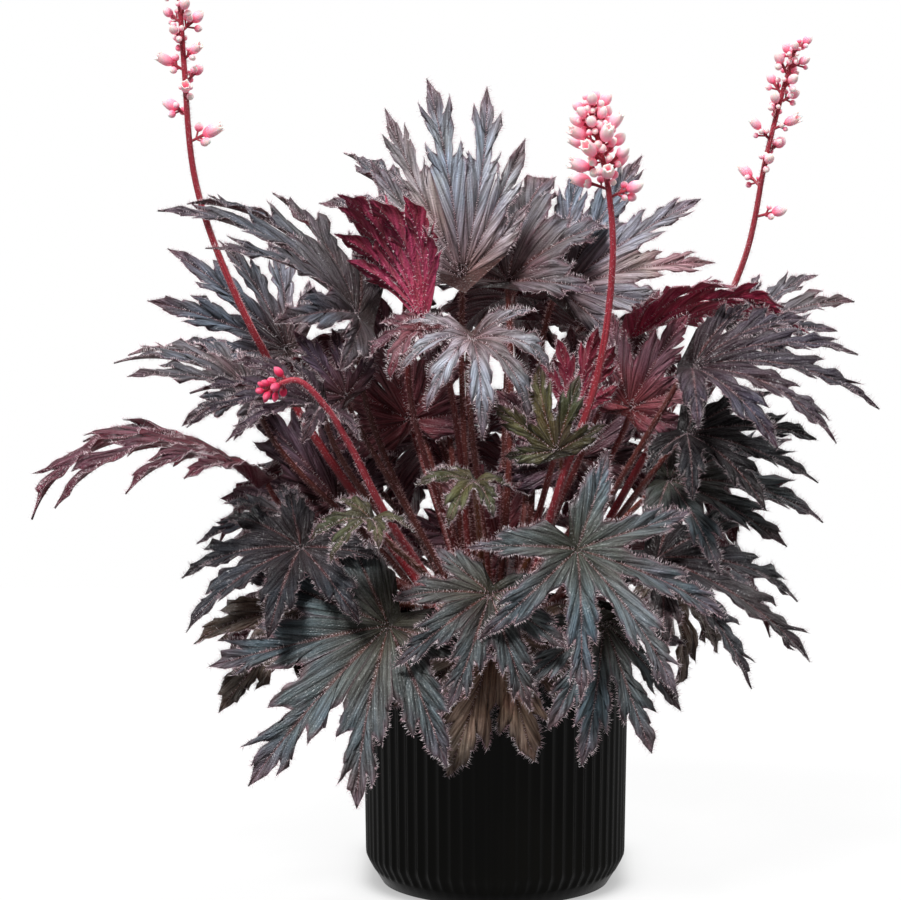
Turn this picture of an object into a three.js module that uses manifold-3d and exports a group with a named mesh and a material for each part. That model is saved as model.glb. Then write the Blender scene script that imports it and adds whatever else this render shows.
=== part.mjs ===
// A potted heuchera: a mound of dark, deeply cut leaves on long stalks, with three open flower stalks
// and one young nodding one, growing from potting compost in a ribbed black plastic pot.
// Millimetres, +Z up, the origin at the middle of the pot's underside. The plant's best side faces -Y.

import * as THREE from "three";
import { mergeVertices } from "three/addons/utils/BufferGeometryUtils.js";
import Module from "manifold-3d";

const wasm = await Module();
wasm.setup();

// ---------------------------------------------------------------- driving dimensions

const POT = {
  height: 155,
  rimRadius: 76.2, // to the crest of the ribs, at the top
  wallFootRadius: 74.4, // to the crest of the ribs, where the straight wall ends
  wallFootHeight: 17,
  ribEndRadius: 69.6, // the ribs run down over a chamfer and end here
  ribEndHeight: 7.7,
  footRadius: 65,
  wall: 3,
  floor: 4,
  lip: 3, // a plain band over the ribs
  ribs: 66,
  ribDepth: 1.2,
};

const SOIL = { top: 140, crown: 3, gap: 0.5, holeDepth: 13, holeGap: 0.45, holeSides: 4, sides: 24 };

const STALK = { sides: 3, footRadius: 2.3, hubRadius: 1.4, steps: 4, upright: 3, square: 2 };
const FEET = { draw: 0.24, spacing: 8.6, passes: 80, reach: 46 };

const BLADE = { thickness: 1, fold: 0.42, rib: 0.4, upperRib: 0.74, heel: 0.08 };
const CLEARANCE = 0.5; // between any two pieces of the plant

// One side of a lobe, from the notch beside it to its point: [along the rib, across it], in lobe lengths.
const TEETH = {
  two: [[0.66, 0.132], [0.59, 0.058], [0.87, 0.105], [0.79, 0.038], [1, 0]],
  one: [[0.74, 0.135], [0.66, 0.058], [1, 0]],
};

// Lobes of half a leaf, from the middle one round to the stalk. Each notch lies halfway between two lobes.
const FORMS = {
  full: {
    lobes: [
      { at: 0, reach: 1, teeth: "two" },
      { at: 36, reach: 0.93, teeth: "two" },
      { at: 75, reach: 0.78, teeth: "one" },
      { at: 119, reach: 0.6, teeth: "one" },
    ],
    notch: 0.38,
    base: { at: 154, reach: 0.24 },
  },
  plain: {
    lobes: [
      { at: 0, reach: 1, teeth: "one" },
      { at: 37, reach: 0.9, teeth: "one" },
      { at: 78, reach: 0.76, teeth: "one" },
      { at: 122, reach: 0.58, teeth: "one" },
    ],
    notch: 0.38,
    base: { at: 156, reach: 0.24 },
  },
  small: {
    lobes: [
      { at: 0, reach: 1, teeth: "one" },
      { at: 44, reach: 0.86, teeth: "one" },
      { at: 96, reach: 0.62, teeth: "one" },
    ],
    notch: 0.36,
    base: { at: 140, reach: 0.24 },
  },
};

const COLOURS = {
  pot: [0x14130f, 0.42],
  soil: [0x2e211a, 0.95],
  dark: [0x4b4c55, 0.6],
  teal: [0x4d5b62, 0.6],
  red: [0x6e2434, 0.55],
  olive: [0x50503a, 0.6],
  brown: [0x5b4136, 0.7],
  flower: [0xe9899b, 0.55],
};

// The leaves of the plant's front and sides. hub: where the stalk meets the blade. tip: the end of the
// middle lobe. face: the way the upper side looks. rise: how steeply the blade leaves the hub, in degrees.
// arch: how far it has bent over by the tip, in degrees. fan: how widely the lobes spread. Some differ from
// their form in how far in the notches lie (notch), how broad the lobes are (slim) and how strongly they
// shorten towards the stalk (taper).
const LEAVES = [
  {
    name: "leaf_top_1", form: "full", tint: "dark",
    hub: [-19, 0, 347], tip: [-37, 15, 459], face: [0.1, -0.95, 0.25],
    rise: 6, arch: 26, fan: 0.46, notch: 0.58, slim: 0.68, taper: 1.3,
  },
  {
    name: "leaf_top_2", form: "full", tint: "dark",
    hub: [37, 35, 337], tip: [118, 62, 388], face: [0, -0.85, 0.5],
    rise: 12, arch: 36, fan: 0.66, notch: 0.5, slim: 0.72,
  },
  {
    name: "leaf_top_3", form: "full", tint: "dark",
    hub: [-78, -10, 325], tip: [-187, -45, 393], face: [-0.1, -0.45, 0.9],
    rise: 16, arch: 52, fan: 0.68, notch: 0.4, slim: 0.7,
  },
  {
    name: "leaf_front_1", form: "full", tint: "teal",
    hub: [44, -105, 208], tip: [100, -132, 134], face: [0.1, -0.8, 0.6],
    rise: 12, arch: 38, fan: 1.04, notch: 0.3, slim: 0.66,
  },
  {
    name: "leaf_front_2", form: "full", tint: "teal",
    hub: [-58, -100, 165], tip: [-138, -126, 84], face: [-0.3, -0.9, 0.4],
    rise: 12, arch: 34, fan: 0.94, notch: 0.46, slim: 0.95,
  },
  {
    name: "leaf_right_1", form: "full", tint: "dark",
    hub: [108, -60, 302], tip: [210, -82, 284], face: [0.05, -0.45, 0.9],
    rise: 18, arch: 58, fan: 0.62, notch: 0.34, slim: 0.66,
  },
  {
    name: "leaf_left_1", form: "full", tint: "red",
    hub: [-132, -40, 232], tip: [-265, -66, 222], face: [0.1, 0.05, 1],
    rise: 34, arch: 98, fan: 0.5, notch: 0.34, slim: 0.6,
  },
  {
    name: "leaf_right_2", form: "full", tint: "red",
    hub: [76, -24, 318], tip: [176, -24, 318], face: [-0.1, 0.22, 0.95],
    rise: 24, arch: 64, fan: 0.6, slim: 0.8,
  },
  {
    name: "leaf_inner_1", form: "plain", tint: "red",
    hub: [-41, -35, 327], tip: [-86, -50, 400], face: [0.5, 0.8, 0.3],
    rise: 4, arch: 66, fan: 0.26,
  },
  {
    name: "leaf_left_2", form: "plain", tint: "dark",
    hub: [-102, -60, 199], tip: [-164, -98, 160], face: [-0.25, -0.65, 0.75],
    rise: 14, arch: 44, fan: 1, notch: 0.42, slim: 0.88,
  },
  {
    name: "leaf_front_3", form: "full", tint: "teal",
    hub: [-3, -98, 184], tip: [-24, -128, 126], face: [0.05, -0.85, 0.55],
    rise: 20, arch: 54, fan: 0.95, notch: 0.44, slim: 0.95,
  },
  {
    name: "leaf_right_3", form: "full", tint: "dark",
    hub: [94, -50, 197], tip: [180, -66, 142], face: [0.3, -0.55, 0.8],
    rise: 14, arch: 40, fan: 0.85, notch: 0.36, slim: 0.7,
  },
  {
    name: "leaf_front_4", form: "plain", tint: "brown",
    hub: [2, -88, 162], tip: [-22, -97, 80], face: [-0.05, -0.98, 0.1],
    rise: 8, arch: 20, fan: 0.9, notch: 0.5, slim: 1.3,
  },
  {
    name: "leaf_front_5", form: "plain", tint: "teal",
    hub: [59, -84, 166], tip: [52, -104, 88], face: [0.15, -0.95, 0.2],
    rise: 10, arch: 30, fan: 0.64, slim: 0.85,
  },
  {
    name: "leaf_left_3", form: "full", tint: "dark",
    hub: [-97, -78, 279], tip: [-166, -112, 272], face: [-0.1, -0.45, 0.9],
    rise: 22, arch: 64, fan: 0.72, notch: 0.34, slim: 0.66,
  },
  {
    name: "leaf_left_4", form: "plain", tint: "dark",
    hub: [-138, 10, 278], tip: [-217, -4, 301], face: [0.15, -0.45, 0.9],
    rise: 16, arch: 62, fan: 0.66, slim: 0.75,
  },
  {
    name: "leaf_left_5", form: "plain", tint: "dark",
    hub: [-122, 55, 303], tip: [-192, 50, 363], face: [-0.2, -0.6, 0.75],
    rise: 12, arch: 40, fan: 0.6, slim: 0.75,
  },
  {
    name: "leaf_right_4", form: "plain", tint: "dark",
    hub: [106, -48, 264], tip: [176, -76, 240], face: [0.1, -0.6, 0.8],
    rise: 18, arch: 50, fan: 0.8, slim: 0.75,
  },
  {
    name: "leaf_right_5", form: "plain", tint: "teal",
    hub: [92, -20, 240], tip: [182, -22, 226], face: [0.2, -0.6, 0.8],
    rise: 12, arch: 36, fan: 0.8, slim: 0.8,
  },
  {
    name: "leaf_right_6", form: "plain", tint: "dark",
    hub: [130, 40, 310], tip: [196, 40, 330], face: [0, -0.6, 0.8],
    rise: 14, arch: 44, fan: 0.75, slim: 0.75,
  },
  {
    name: "leaf_right_7", form: "small", tint: "brown",
    hub: [92, -18, 182], tip: [100, -26, 112], face: [0.8, -0.55, 0.2],
    rise: 16, arch: 60, fan: 0.75,
  },
  {
    name: "leaf_left_6", form: "small", tint: "dark",
    hub: [-116, -8, 210], tip: [-168, -20, 196], face: [-0.4, -0.55, 0.75],
    rise: 12, arch: 44, fan: 1,
  },
  {
    name: "leaf_inner_2", form: "small", tint: "dark",
    hub: [-84, -42, 282], tip: [-116, -44, 318], face: [0, -0.9, 0.5],
    rise: 8, arch: 30, fan: 0.8,
  },
  {
    name: "leaf_inner_3", form: "plain", tint: "dark",
    hub: [-13, -68, 318], tip: [-6, -106, 268], face: [0.1, -0.6, 0.8],
    rise: 32, arch: 110, fan: 0.9, notch: 0.32, slim: 0.62,
  },
  {
    name: "leaf_inner_4", form: "small", tint: "red",
    hub: [43, -38, 276], tip: [53, -44, 324], face: [0.25, 0.85, 0.35],
    rise: 4, arch: 44, fan: 0.5,
  },
  {
    name: "leaf_inner_5", form: "small", tint: "olive",
    hub: [28, -78, 264], tip: [16, -66, 311], face: [-0.3, -0.9, 0.35],
    rise: 6, arch: 30, fan: 0.8,
  },
  {
    name: "leaf_inner_6", form: "small", tint: "olive",
    hub: [-12, -82, 241], tip: [-25, -108, 220], face: [0, -0.6, 0.85],
    rise: 26, arch: 80, fan: 1,
  },
  {
    name: "leaf_inner_7", form: "small", tint: "olive",
    hub: [-72, -104, 226], tip: [-94, -130, 206], face: [-0.2, -0.6, 0.8],
    rise: 24, arch: 70, fan: 1,
  },
  {
    name: "leaf_inner_8", form: "small", tint: "red",
    hub: [-35, -62, 323], tip: [-54, -92, 298], face: [-0.2, -0.5, 0.85],
    rise: 26, arch: 80, fan: 0.9,
  },
  {
    name: "leaf_inner_9", form: "small", tint: "red",
    hub: [80, -32, 266], tip: [108, -34, 322], face: [-0.1, -0.9, 0.35],
    rise: 8, arch: 34, fan: 0.9, notch: 0.46, slim: 1.1,
  },
  {
    name: "leaf_inner_10", form: "small", tint: "red",
    hub: [-50, 26, 262], tip: [-68, 30, 336], face: [-0.1, -0.85, 0.5],
    rise: 10, arch: 36, fan: 1, notch: 0.5, slim: 1.3,
  },
  {
    name: "leaf_inner_11", form: "small", tint: "dark",
    hub: [-92, 16, 214], tip: [-146, 16, 270], face: [-0.1, -0.85, 0.5],
    rise: 10, arch: 36, fan: 1, notch: 0.5, slim: 1.3,
  },
  {
    name: "leaf_inner_12", form: "small", tint: "red",
    hub: [-4, 48, 184], tip: [-46, 44, 250], face: [0, -0.85, 0.5],
    rise: 10, arch: 36, fan: 1, notch: 0.5, slim: 1.3,
  },
  {
    name: "leaf_inner_13", form: "small", tint: "dark",
    hub: [52, 26, 240], tip: [46, 24, 318], face: [0.1, -0.85, 0.5],
    rise: 10, arch: 36, fan: 1, notch: 0.5, slim: 1.3,
  },
  {
    name: "leaf_front_6", form: "small", tint: "brown",
    hub: [-100, -46, 166], tip: [-152, -80, 112], face: [-0.2, -0.75, 0.6],
    rise: 14, arch: 44, fan: 0.95, notch: 0.46, slim: 1.2,
  },
];

// The leaves of the plant's back, tier by tier: even turns round it with a seeded unevenness.
const BACK = [
  { count: 5, from: 8, to: 166, radius: 102, height: 184, reach: 90, dip: 44, form: "small", tint: "dark" },
  { count: 4, from: 30, to: 146, radius: 98, height: 246, reach: 96, dip: 54, form: "small", tint: "dark" },
  { count: 3, from: 38, to: 142, radius: 78, height: 316, reach: 84, dip: 52, form: "small", tint: "dark" },
  { count: 2, from: 66, to: 142, radius: 42, height: 345, reach: 80, dip: -46, form: "small", tint: "dark" },
];

// Flower stalks: the line of the stem above the crown, its radius at the foot, and its flowers: how many,
// from what share of the stem up, how strongly they crowd towards its end, and how long their arms are.
const FLOWER_STALKS = [
  {
    name: "flower_stalk_1",
    line: [[-112, 14, 268], [-151, 20, 341], [-171, 22, 400], [-177, 22, 468], [-180, 20, 527]],
    radius: 2.7,
    flowers: { count: 20, from: 0.7, crowding: 0.48, arm: 7, size: 1.15 },
  },
  {
    name: "flower_stalk_2",
    line: [[36, -74, 241], [55, -88, 300], [63, -92, 366], [60, -92, 405], [51, -92, 444]],
    radius: 2.7,
    flowers: { count: 25, from: 0.84, crowding: 0.62, arm: 9, size: 1.3 },
  },
  {
    name: "flower_stalk_3",
    line: [[112, 34, 290], [143, 42, 355], [154, 42, 410], [161, 42, 440], [170, 40, 474]],
    radius: 2.5,
    flowers: { count: 17, from: 0.64, crowding: 0.4, arm: 8, size: 1.15 },
  },
  {
    name: "flower_stalk_4",
    line: [[-60, -76, 222], [-79, -90, 262], [-93, -98, 286], [-108, -102, 300], [-124, -102, 294]],
    radius: 2.9,
    flowers: { count: 12, from: 0.93, crowding: 0.6, arm: 1.5, size: 0.7 },
  },
];
const FLORET = { sides: 4, length: 11, radius: 4, pedicel: 0.7, rooted: 2.2, turn: 137.5 };

// ---------------------------------------------------------------- solids

const vec = (p) => new THREE.Vector3(...p);
const radians = THREE.MathUtils.degToRad;

// A repeatable draw between -1 and 1 for a pair of numbers.
function draw(i, j) {
  const s = Math.sin(i * 12.9898 + j * 78.233) * 43758.5453;
  return 2 * (s - Math.floor(s)) - 1;
}

function solidFrom(positions, triangles) {
  return new wasm.Manifold(
    new wasm.Mesh({
      numProp: 3,
      vertProperties: Float32Array.from(positions),
      triVerts: Uint32Array.from(triangles),
    }),
  );
}

function solidOf(geometry) {
  const bare = geometry.clone();
  bare.deleteAttribute("normal");
  bare.deleteAttribute("uv");
  const merged = mergeVertices(bare, 1e-3);
  return solidFrom(merged.attributes.position.array, merged.index.array);
}

function meshOf(name, solid, [colour, roughness]) {
  const { vertProperties, triVerts } = solid.getMesh();
  const geometry = new THREE.BufferGeometry();
  geometry.setAttribute("position", new THREE.BufferAttribute(vertProperties, 3));
  geometry.setIndex(new THREE.BufferAttribute(triVerts, 1));
  geometry.computeVertexNormals();
  const material = new THREE.MeshStandardMaterial({ color: colour, roughness, metalness: 0 });
  const mesh = new THREE.Mesh(geometry, material);
  mesh.name = name;
  return mesh;
}

// A closed skin over rings of equally many points. Small end rings are closed flat from one corner,
// large ones by a fan round their own middle.
function skin(rings) {
  const count = rings[0].length;
  const points = rings.flat();
  const triangles = [];
  for (let i = 0; i < count; i++) {
    const next = (i + 1) % count;
    for (let k = 0; k + 1 < rings.length; k++) {
      const [a, b, c, d] = [k * count + i, k * count + next, (k + 1) * count + next, (k + 1) * count + i];
      triangles.push(a, b, c, a, c, d);
    }
  }
  const close = (ring, from, turned) => {
    const large = count > 8;
    const apex = large ? points.length : from;
    if (large) points.push(ring.reduce((sum, p) => sum.add(p), new THREE.Vector3()).divideScalar(count));
    for (let i = large ? 0 : 1; i < (large ? count : count - 1); i++) {
      const edge = [from + i, from + ((i + 1) % count)];
      triangles.push(apex, ...(turned ? edge.reverse() : edge));
    }
  };
  close(rings[0], 0, true);
  close(rings.at(-1), (rings.length - 1) * count, false);
  return solidFrom(points.flatMap((p) => p.toArray()), triangles);
}

// A tube of a few sides along a line of points. The section is carried along without twisting.
function tube(line, radii, sides) {
  let across = new THREE.Vector3(1, 0, 0);
  const rings = line.map((p, k) => {
    const ahead = line[Math.min(k + 1, line.length - 1)];
    const behind = line[Math.max(k - 1, 0)];
    const along = ahead.clone().sub(behind).normalize();
    across = across.clone().addScaledVector(along, -across.dot(along)).normalize();
    const other = along.clone().cross(across);
    return Array.from({ length: sides }, (_, i) => {
      const a = (2 * Math.PI * i) / sides;
      const rim = across.clone().multiplyScalar(Math.cos(a)).addScaledVector(other, Math.sin(a));
      return p.clone().addScaledVector(rim, radii[k]);
    });
  });
  return skin(rings);
}

// ---------------------------------------------------------------- pot

// A level ring of the pot's outside, its radius swinging between crest and groove once for each rib.
function ribbedRing(radius, depth, height) {
  return Array.from({ length: 2 * POT.ribs }, (_, i) => {
    const a = (Math.PI * i) / POT.ribs;
    const r = radius - (i % 2) * depth;
    return new THREE.Vector3(r * Math.cos(a), r * Math.sin(a), height);
  });
}

function makePot() {
  const ribTop = POT.height - POT.lip;
  const outside = skin([
    ribbedRing(POT.footRadius, 0, 0),
    ribbedRing(POT.ribEndRadius, 0, POT.ribEndHeight),
    ribbedRing(POT.wallFootRadius, POT.ribDepth, POT.wallFootHeight),
    ribbedRing(POT.rimRadius, POT.ribDepth, ribTop),
    ribbedRing(POT.rimRadius, 0, POT.height),
  ]);
  const inside = new THREE.LatheGeometry(
    [
      [0, POT.floor],
      [POT.footRadius - POT.wall, POT.floor],
      [POT.wallFootRadius - POT.ribDepth - POT.wall, POT.wallFootHeight],
      [POT.rimRadius - POT.ribDepth - POT.wall, POT.height + 1],
      [0, POT.height + 1],
    ].map(([r, z]) => new THREE.Vector2(r, z)),
    SOIL.sides,
  ).rotateX(Math.PI / 2);
  return outside.subtract(solidOf(inside));
}

// ---------------------------------------------------------------- leaves

// The blade's own axes: T along the middle lobe where it leaves the hub, N up out of it, L to its left.
function bladeAxes(leaf) {
  const chord = leaf.tip.clone().sub(leaf.hub);
  const length = chord.length();
  const t = chord.clone().divideScalar(length);
  const n = leaf.face.clone().addScaledVector(t, -leaf.face.dot(t)).normalize();
  const end = bend(leaf, 1, 0);
  const slope = Math.atan2(end.out, end.along);
  const T = t.clone().multiplyScalar(Math.cos(slope)).addScaledVector(n, -Math.sin(slope));
  const N = t.clone().multiplyScalar(Math.sin(slope)).addScaledVector(n, Math.cos(slope));
  return { T, N, L: N.clone().cross(T), size: length / Math.hypot(end.along, end.out) };
}

// A ray from the hub is an arc that starts at the rise and bends steadily over; how much differs a
// little round the leaf. Gives how far it has gone along and out of the hub's plane, and its slope.
function bend(leaf, r, theta) {
  const rise = radians(leaf.rise) * (1 + 0.25 * Math.sin(2 * theta + 2 * leaf.seed));
  const arch = radians(leaf.arch) * (1 + 0.16 * Math.sin(3 * theta + leaf.seed));
  const slope = rise - arch * r;
  return {
    along: (Math.sin(rise) - Math.sin(slope)) / arch,
    out: (Math.cos(slope) - Math.cos(rise)) / arch,
    slope,
  };
}

// A point of the blade: r and theta are polar in the flat leaf, rib is the angle of the nearest rib.
// The blade is pleated, lowest on the ribs, and half its thickness lies on each side.
function bladePoint(leaf, axes, r, theta, rib, side) {
  const { along, out, slope } = bend(leaf, r, theta);
  const ray = axes.T.clone().multiplyScalar(Math.cos(theta)).addScaledVector(axes.L, Math.sin(theta));
  const normal = axes.N.clone().multiplyScalar(Math.cos(slope)).addScaledVector(ray, -Math.sin(slope));
  const pleat = BLADE.fold * axes.size * r * Math.abs(Math.sin(theta - rib));
  return leaf.hub
    .clone()
    .addScaledVector(ray, axes.size * along)
    .addScaledVector(axes.N, axes.size * out)
    .addScaledVector(normal, pleat + (side * BLADE.thickness) / 2);
}

// The lobes all round a leaf, from one side of the stalk to the other, with their small differences.
function lobesOf(leaf) {
  const half = FORMS[leaf.form].lobes;
  const right = half.slice(1).reverse().map((lobe) => ({ ...lobe, at: -lobe.at }));
  return [...right, ...half].map((lobe, k) => ({
    at: radians(lobe.at * leaf.fan + 3 * draw(leaf.seed, k)),
    reach: lobe.reach ** (leaf.taper ?? 1) * (k === right.length ? 1 : 1 + 0.07 * draw(leaf.seed, k + 20)),
    teeth: TEETH[lobe.teeth],
  }));
}

// The blade as a flat net: polar points, the outline in order, and the triangles of one face.
function bladeNet(leaf) {
  const form = FORMS[leaf.form];
  const { notch: sinus = form.notch, slim = 1 } = leaf;
  const lobes = lobesOf(leaf);
  const points = [{ r: 0, theta: 0, rib: 0 }];
  const hub = 0;
  const outline = [];
  const triangles = [];
  const add = (r, theta, rib) => points.push({ r, theta, rib }) - 1;
  const margin = (index) => outline.push(index) && index;
  const baseAngle = radians(form.base.at * leaf.fan);
  let notch = margin(add(form.base.reach, -baseAngle, lobes[0].at));
  const firstBase = notch;
  lobes.forEach((lobe, k) => {
    const polar = ([along, across], side) => {
      const turn = Math.atan2(slim * across, along);
      return add(lobe.reach * Math.hypot(along, slim * across), lobe.at + side * turn, lobe.at);
    };
    const tip = polar([1, 0], 1);
    const ribs = [add(lobe.reach * BLADE.rib, lobe.at, lobe.at)];
    if (lobe.teeth.length > 3) ribs.push(add(lobe.reach * BLADE.upperRib, lobe.at, lobe.at));
    const low = lobe.teeth.slice(0, -1).map((p) => margin(polar(p, -1)));
    margin(tip);
    const high = lobe.teeth.slice(0, -1).reverse().map((p) => margin(polar(p, 1))).reverse();
    const next = lobes[k + 1];
    const after = next
      ? margin(add((sinus * (lobe.reach + next.reach)) / 2, (lobe.at + next.at) / 2, lobe.at))
      : margin(add(form.base.reach, baseAngle, lobe.at));
    halfLobe(triangles, hub, ribs, [notch, ...low, tip], true);
    halfLobe(triangles, hub, ribs, [after, ...high, tip], false);
    notch = after;
  });
  const heel = margin(add(BLADE.heel, Math.PI, Math.PI));
  triangles.push([hub, firstBase, heel].reverse(), [hub, heel, notch].reverse());
  return { points, outline, triangles };
}

// Triangles between a lobe's rib and one of its sides. The side runs from the notch to the point.
function halfLobe(triangles, hub, ribs, side, turned) {
  const [notch, a, aIn, ...rest] = side;
  const made = [
    [hub, notch, ribs[0]],
    [ribs[0], notch, a],
    [ribs[0], a, aIn],
  ];
  if (rest.length === 1) made.push([ribs[0], aIn, rest[0]]);
  else {
    const [b, bIn, tip] = rest;
    made.push([ribs[0], aIn, ribs[1]], [ribs[1], aIn, b], [ribs[1], b, bIn], [ribs[1], bIn, tip]);
  }
  triangles.push(...made.map((t) => (turned ? t : t.reverse())));
}

// The blade as a thin closed solid: the same net on both faces, joined along the outline.
function makeBlade(leaf, axes) {
  const { points, outline, triangles } = bladeNet(leaf);
  const count = points.length;
  const place = (side) => points.map(({ r, theta, rib }) => bladePoint(leaf, axes, r, theta, rib, side));
  const positions = [...place(1), ...place(-1)].flatMap((p) => p.toArray());
  const faces = triangles.flatMap(([a, b, c]) => [a, b, c, a + count, c + count, b + count]);
  outline.forEach((a, i) => {
    const b = outline[(i + 1) % outline.length];
    faces.push(a, a + count, b + count, a, b + count, b);
  });
  return solidFrom(positions, faces);
}

// The leaf stalk's line: straight up out of the compost, then a curve that meets the blade from below,
// just behind the hub, and ends square to it inside its thickness.
function stalkLine(foot, end, axes) {
  const low = new THREE.Vector3(foot.x, foot.y, SOIL.top - SOIL.holeDepth + 1);
  const start = new THREE.Vector3(foot.x, foot.y, SOIL.top + SOIL.crown + STALK.upright);
  const below = end.clone().addScaledVector(axes.N, -STALK.square);
  const span = start.distanceTo(below);
  const outward = new THREE.Vector3(end.x, end.y, 0).normalize().multiplyScalar(0.3);
  const up = new THREE.Vector3(0, 0, 1).add(outward).normalize();
  const arrive = axes.T.clone().multiplyScalar(0.5).addScaledVector(axes.N, 0.85).normalize();
  const curve = new THREE.CubicBezierCurve3(
    start,
    start.clone().addScaledVector(up, 0.32 * span),
    below.clone().addScaledVector(arrive, -0.3 * span),
    below,
  );
  return [low, ...curve.getPoints(STALK.steps), end];
}

function makeStalk(foot, end, axes) {
  const line = stalkLine(foot, end, axes);
  const radii = line.map((_, i) =>
    THREE.MathUtils.lerp(STALK.footRadius, STALK.hubRadius, i / (line.length - 1)),
  );
  return tube(line, radii, STALK.sides);
}

// The leaves of the back are worked out from their tier.
function backLeaves() {
  return BACK.flatMap((tier, level) =>
    Array.from({ length: tier.count }, (_, i) => {
      const uneven = (k) => draw(level * 10 + i + 1, k);
      const step = (tier.to - tier.from) / (tier.count - 1);
      const turn = radians(tier.from + step * (i + 0.16 * uneven(1)));
      const outward = new THREE.Vector3(Math.cos(turn), Math.sin(turn), 0);
      const dip = radians(tier.dip + 8 * uneven(2));
      const hub = outward.clone().multiplyScalar(tier.radius * (1 + 0.08 * uneven(3)));
      hub.z = tier.height + 10 * uneven(4);
      const reach = tier.reach * (1 + 0.08 * uneven(5));
      const tip = hub.clone().addScaledVector(outward, reach * Math.cos(dip));
      tip.z -= reach * Math.sin(dip);
      const face = outward.clone().multiplyScalar(Math.sin(dip) + 0.25);
      face.z = 1;
      const name = `leaf_back_${level + 1}${i + 1}`;
      const blade = { rise: 16, arch: 48, fan: 0.95, notch: 0.52, slim: 1.3 };
      return { name, form: tier.form, hub, tip, face, ...blade, tint: tier.tint };
    }),
  );
}

// ---------------------------------------------------------------- feet and settling

// Each stalk's foot is drawn from its leaf's place towards the crown; crowded feet push each other apart.
function placeFeet(places) {
  const feet = places.map((p) => new THREE.Vector2(p.x, p.y).multiplyScalar(FEET.draw));
  for (let pass = 0; pass < FEET.passes; pass++) {
    feet.forEach((a, i) =>
      feet.slice(i + 1).forEach((b) => {
        const apart = b.clone().sub(a);
        const gap = apart.length() || 0.01;
        if (gap >= FEET.spacing) return;
        apart.multiplyScalar((FEET.spacing - gap) / (2 * gap));
        a.sub(apart);
        b.add(apart);
      }),
    );
    feet.forEach((f) => f.clampLength(0, FEET.reach));
  }
  return feet;
}

// Shifts to try for a leaf that would cross another, the least first. Depth costs less than a sidestep.
const SHIFTS = [];
for (let x = -40; x <= 40; x += 5)
  for (let y = -40; y <= 40; y += 5)
    for (let z = -30; z <= 30; z += 5)
      SHIFTS.push({ x, y, z, cost: Math.hypot(x, y / 1.5, z < 0 ? 1.2 * z : z) });
SHIFTS.sort((a, b) => a.cost - b.cost);

function boxesMeet(a, b) {
  return [0, 1, 2].every((k) => a.min[k] < b.max[k] + CLEARANCE && b.min[k] < a.max[k] + CLEARANCE);
}

// Whether pieces stand clear of all that is already placed. The one last hit is tried first.
function isClear(pieces, placed) {
  for (const piece of pieces) {
    const box = piece.boundingBox();
    for (let i = 0; i < placed.length; i++) {
      const other = placed[i];
      if (!boxesMeet(box, other.box)) continue;
      if (piece.minGap(other.solid, 2 * CLEARANCE) >= CLEARANCE) continue;
      placed.splice(i, 1);
      placed.unshift(other);
      return false;
    }
  }
  return true;
}

function place(solid, placed) {
  placed.push({ solid, box: solid.boundingBox() });
}

// A leaf where its dimensions put it or, where it would cross another there, at the nearest free shift.
function makeLeaf(leaf, foot, placed) {
  const axes = bladeAxes(leaf);
  const blade = makeBlade(leaf, axes);
  const end = bladePoint(leaf, axes, 0.5 * BLADE.heel, Math.PI, Math.PI, 0);
  for (const { x, y, z } of SHIFTS) {
    const moved = blade.translate([x, y, z]);
    if (!isClear([moved], placed)) continue;
    const stalk = makeStalk(foot, end.clone().add({ x, y, z }), axes);
    if (!isClear([stalk], placed)) continue;
    place(moved, placed);
    place(stalk, placed);
    leaf.shift = [x, y, z];
    return moved.add(stalk);
  }
  throw new Error(leaf.name + " finds no free place");
}

// ---------------------------------------------------------------- flower stalks

// A floret: a thin pedicel, and the four-sided bell that it widens into, closed at its mouth.
function makeFloret(from, lean, arm, size) {
  const across = new THREE.Vector3(0, 0, 1).cross(lean).normalize();
  const other = lean.clone().cross(across);
  const ring = (distance, radius) =>
    Array.from({ length: FLORET.sides }, (_, i) => {
      const a = (2 * Math.PI * i) / FLORET.sides;
      return from
        .clone()
        .addScaledVector(lean, distance)
        .addScaledVector(across, radius * Math.cos(a))
        .addScaledVector(other, radius * Math.sin(a));
    });
  const rings = [
    ring(arm, FLORET.pedicel),
    ring(arm + 0.4 * FLORET.length * size, FLORET.radius * size),
    ring(arm + FLORET.length * size, 0.62 * FLORET.radius * size),
  ];
  return {
    whole: skin([ring(0, FLORET.pedicel), ...rings]),
    free: skin([ring(FLORET.rooted, FLORET.pedicel), ...rings]), // without what is sunk in the stem
  };
}

// The place and direction at a share of the length of a line of evenly spaced points.
function alongLine(points, share) {
  const steps = share * (points.length - 1);
  const k = Math.min(Math.floor(steps), points.length - 2);
  const tangent = points[k + 1].clone().sub(points[k]).normalize();
  return { at: points[k].clone().lerp(points[k + 1], steps - k), tangent };
}

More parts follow.
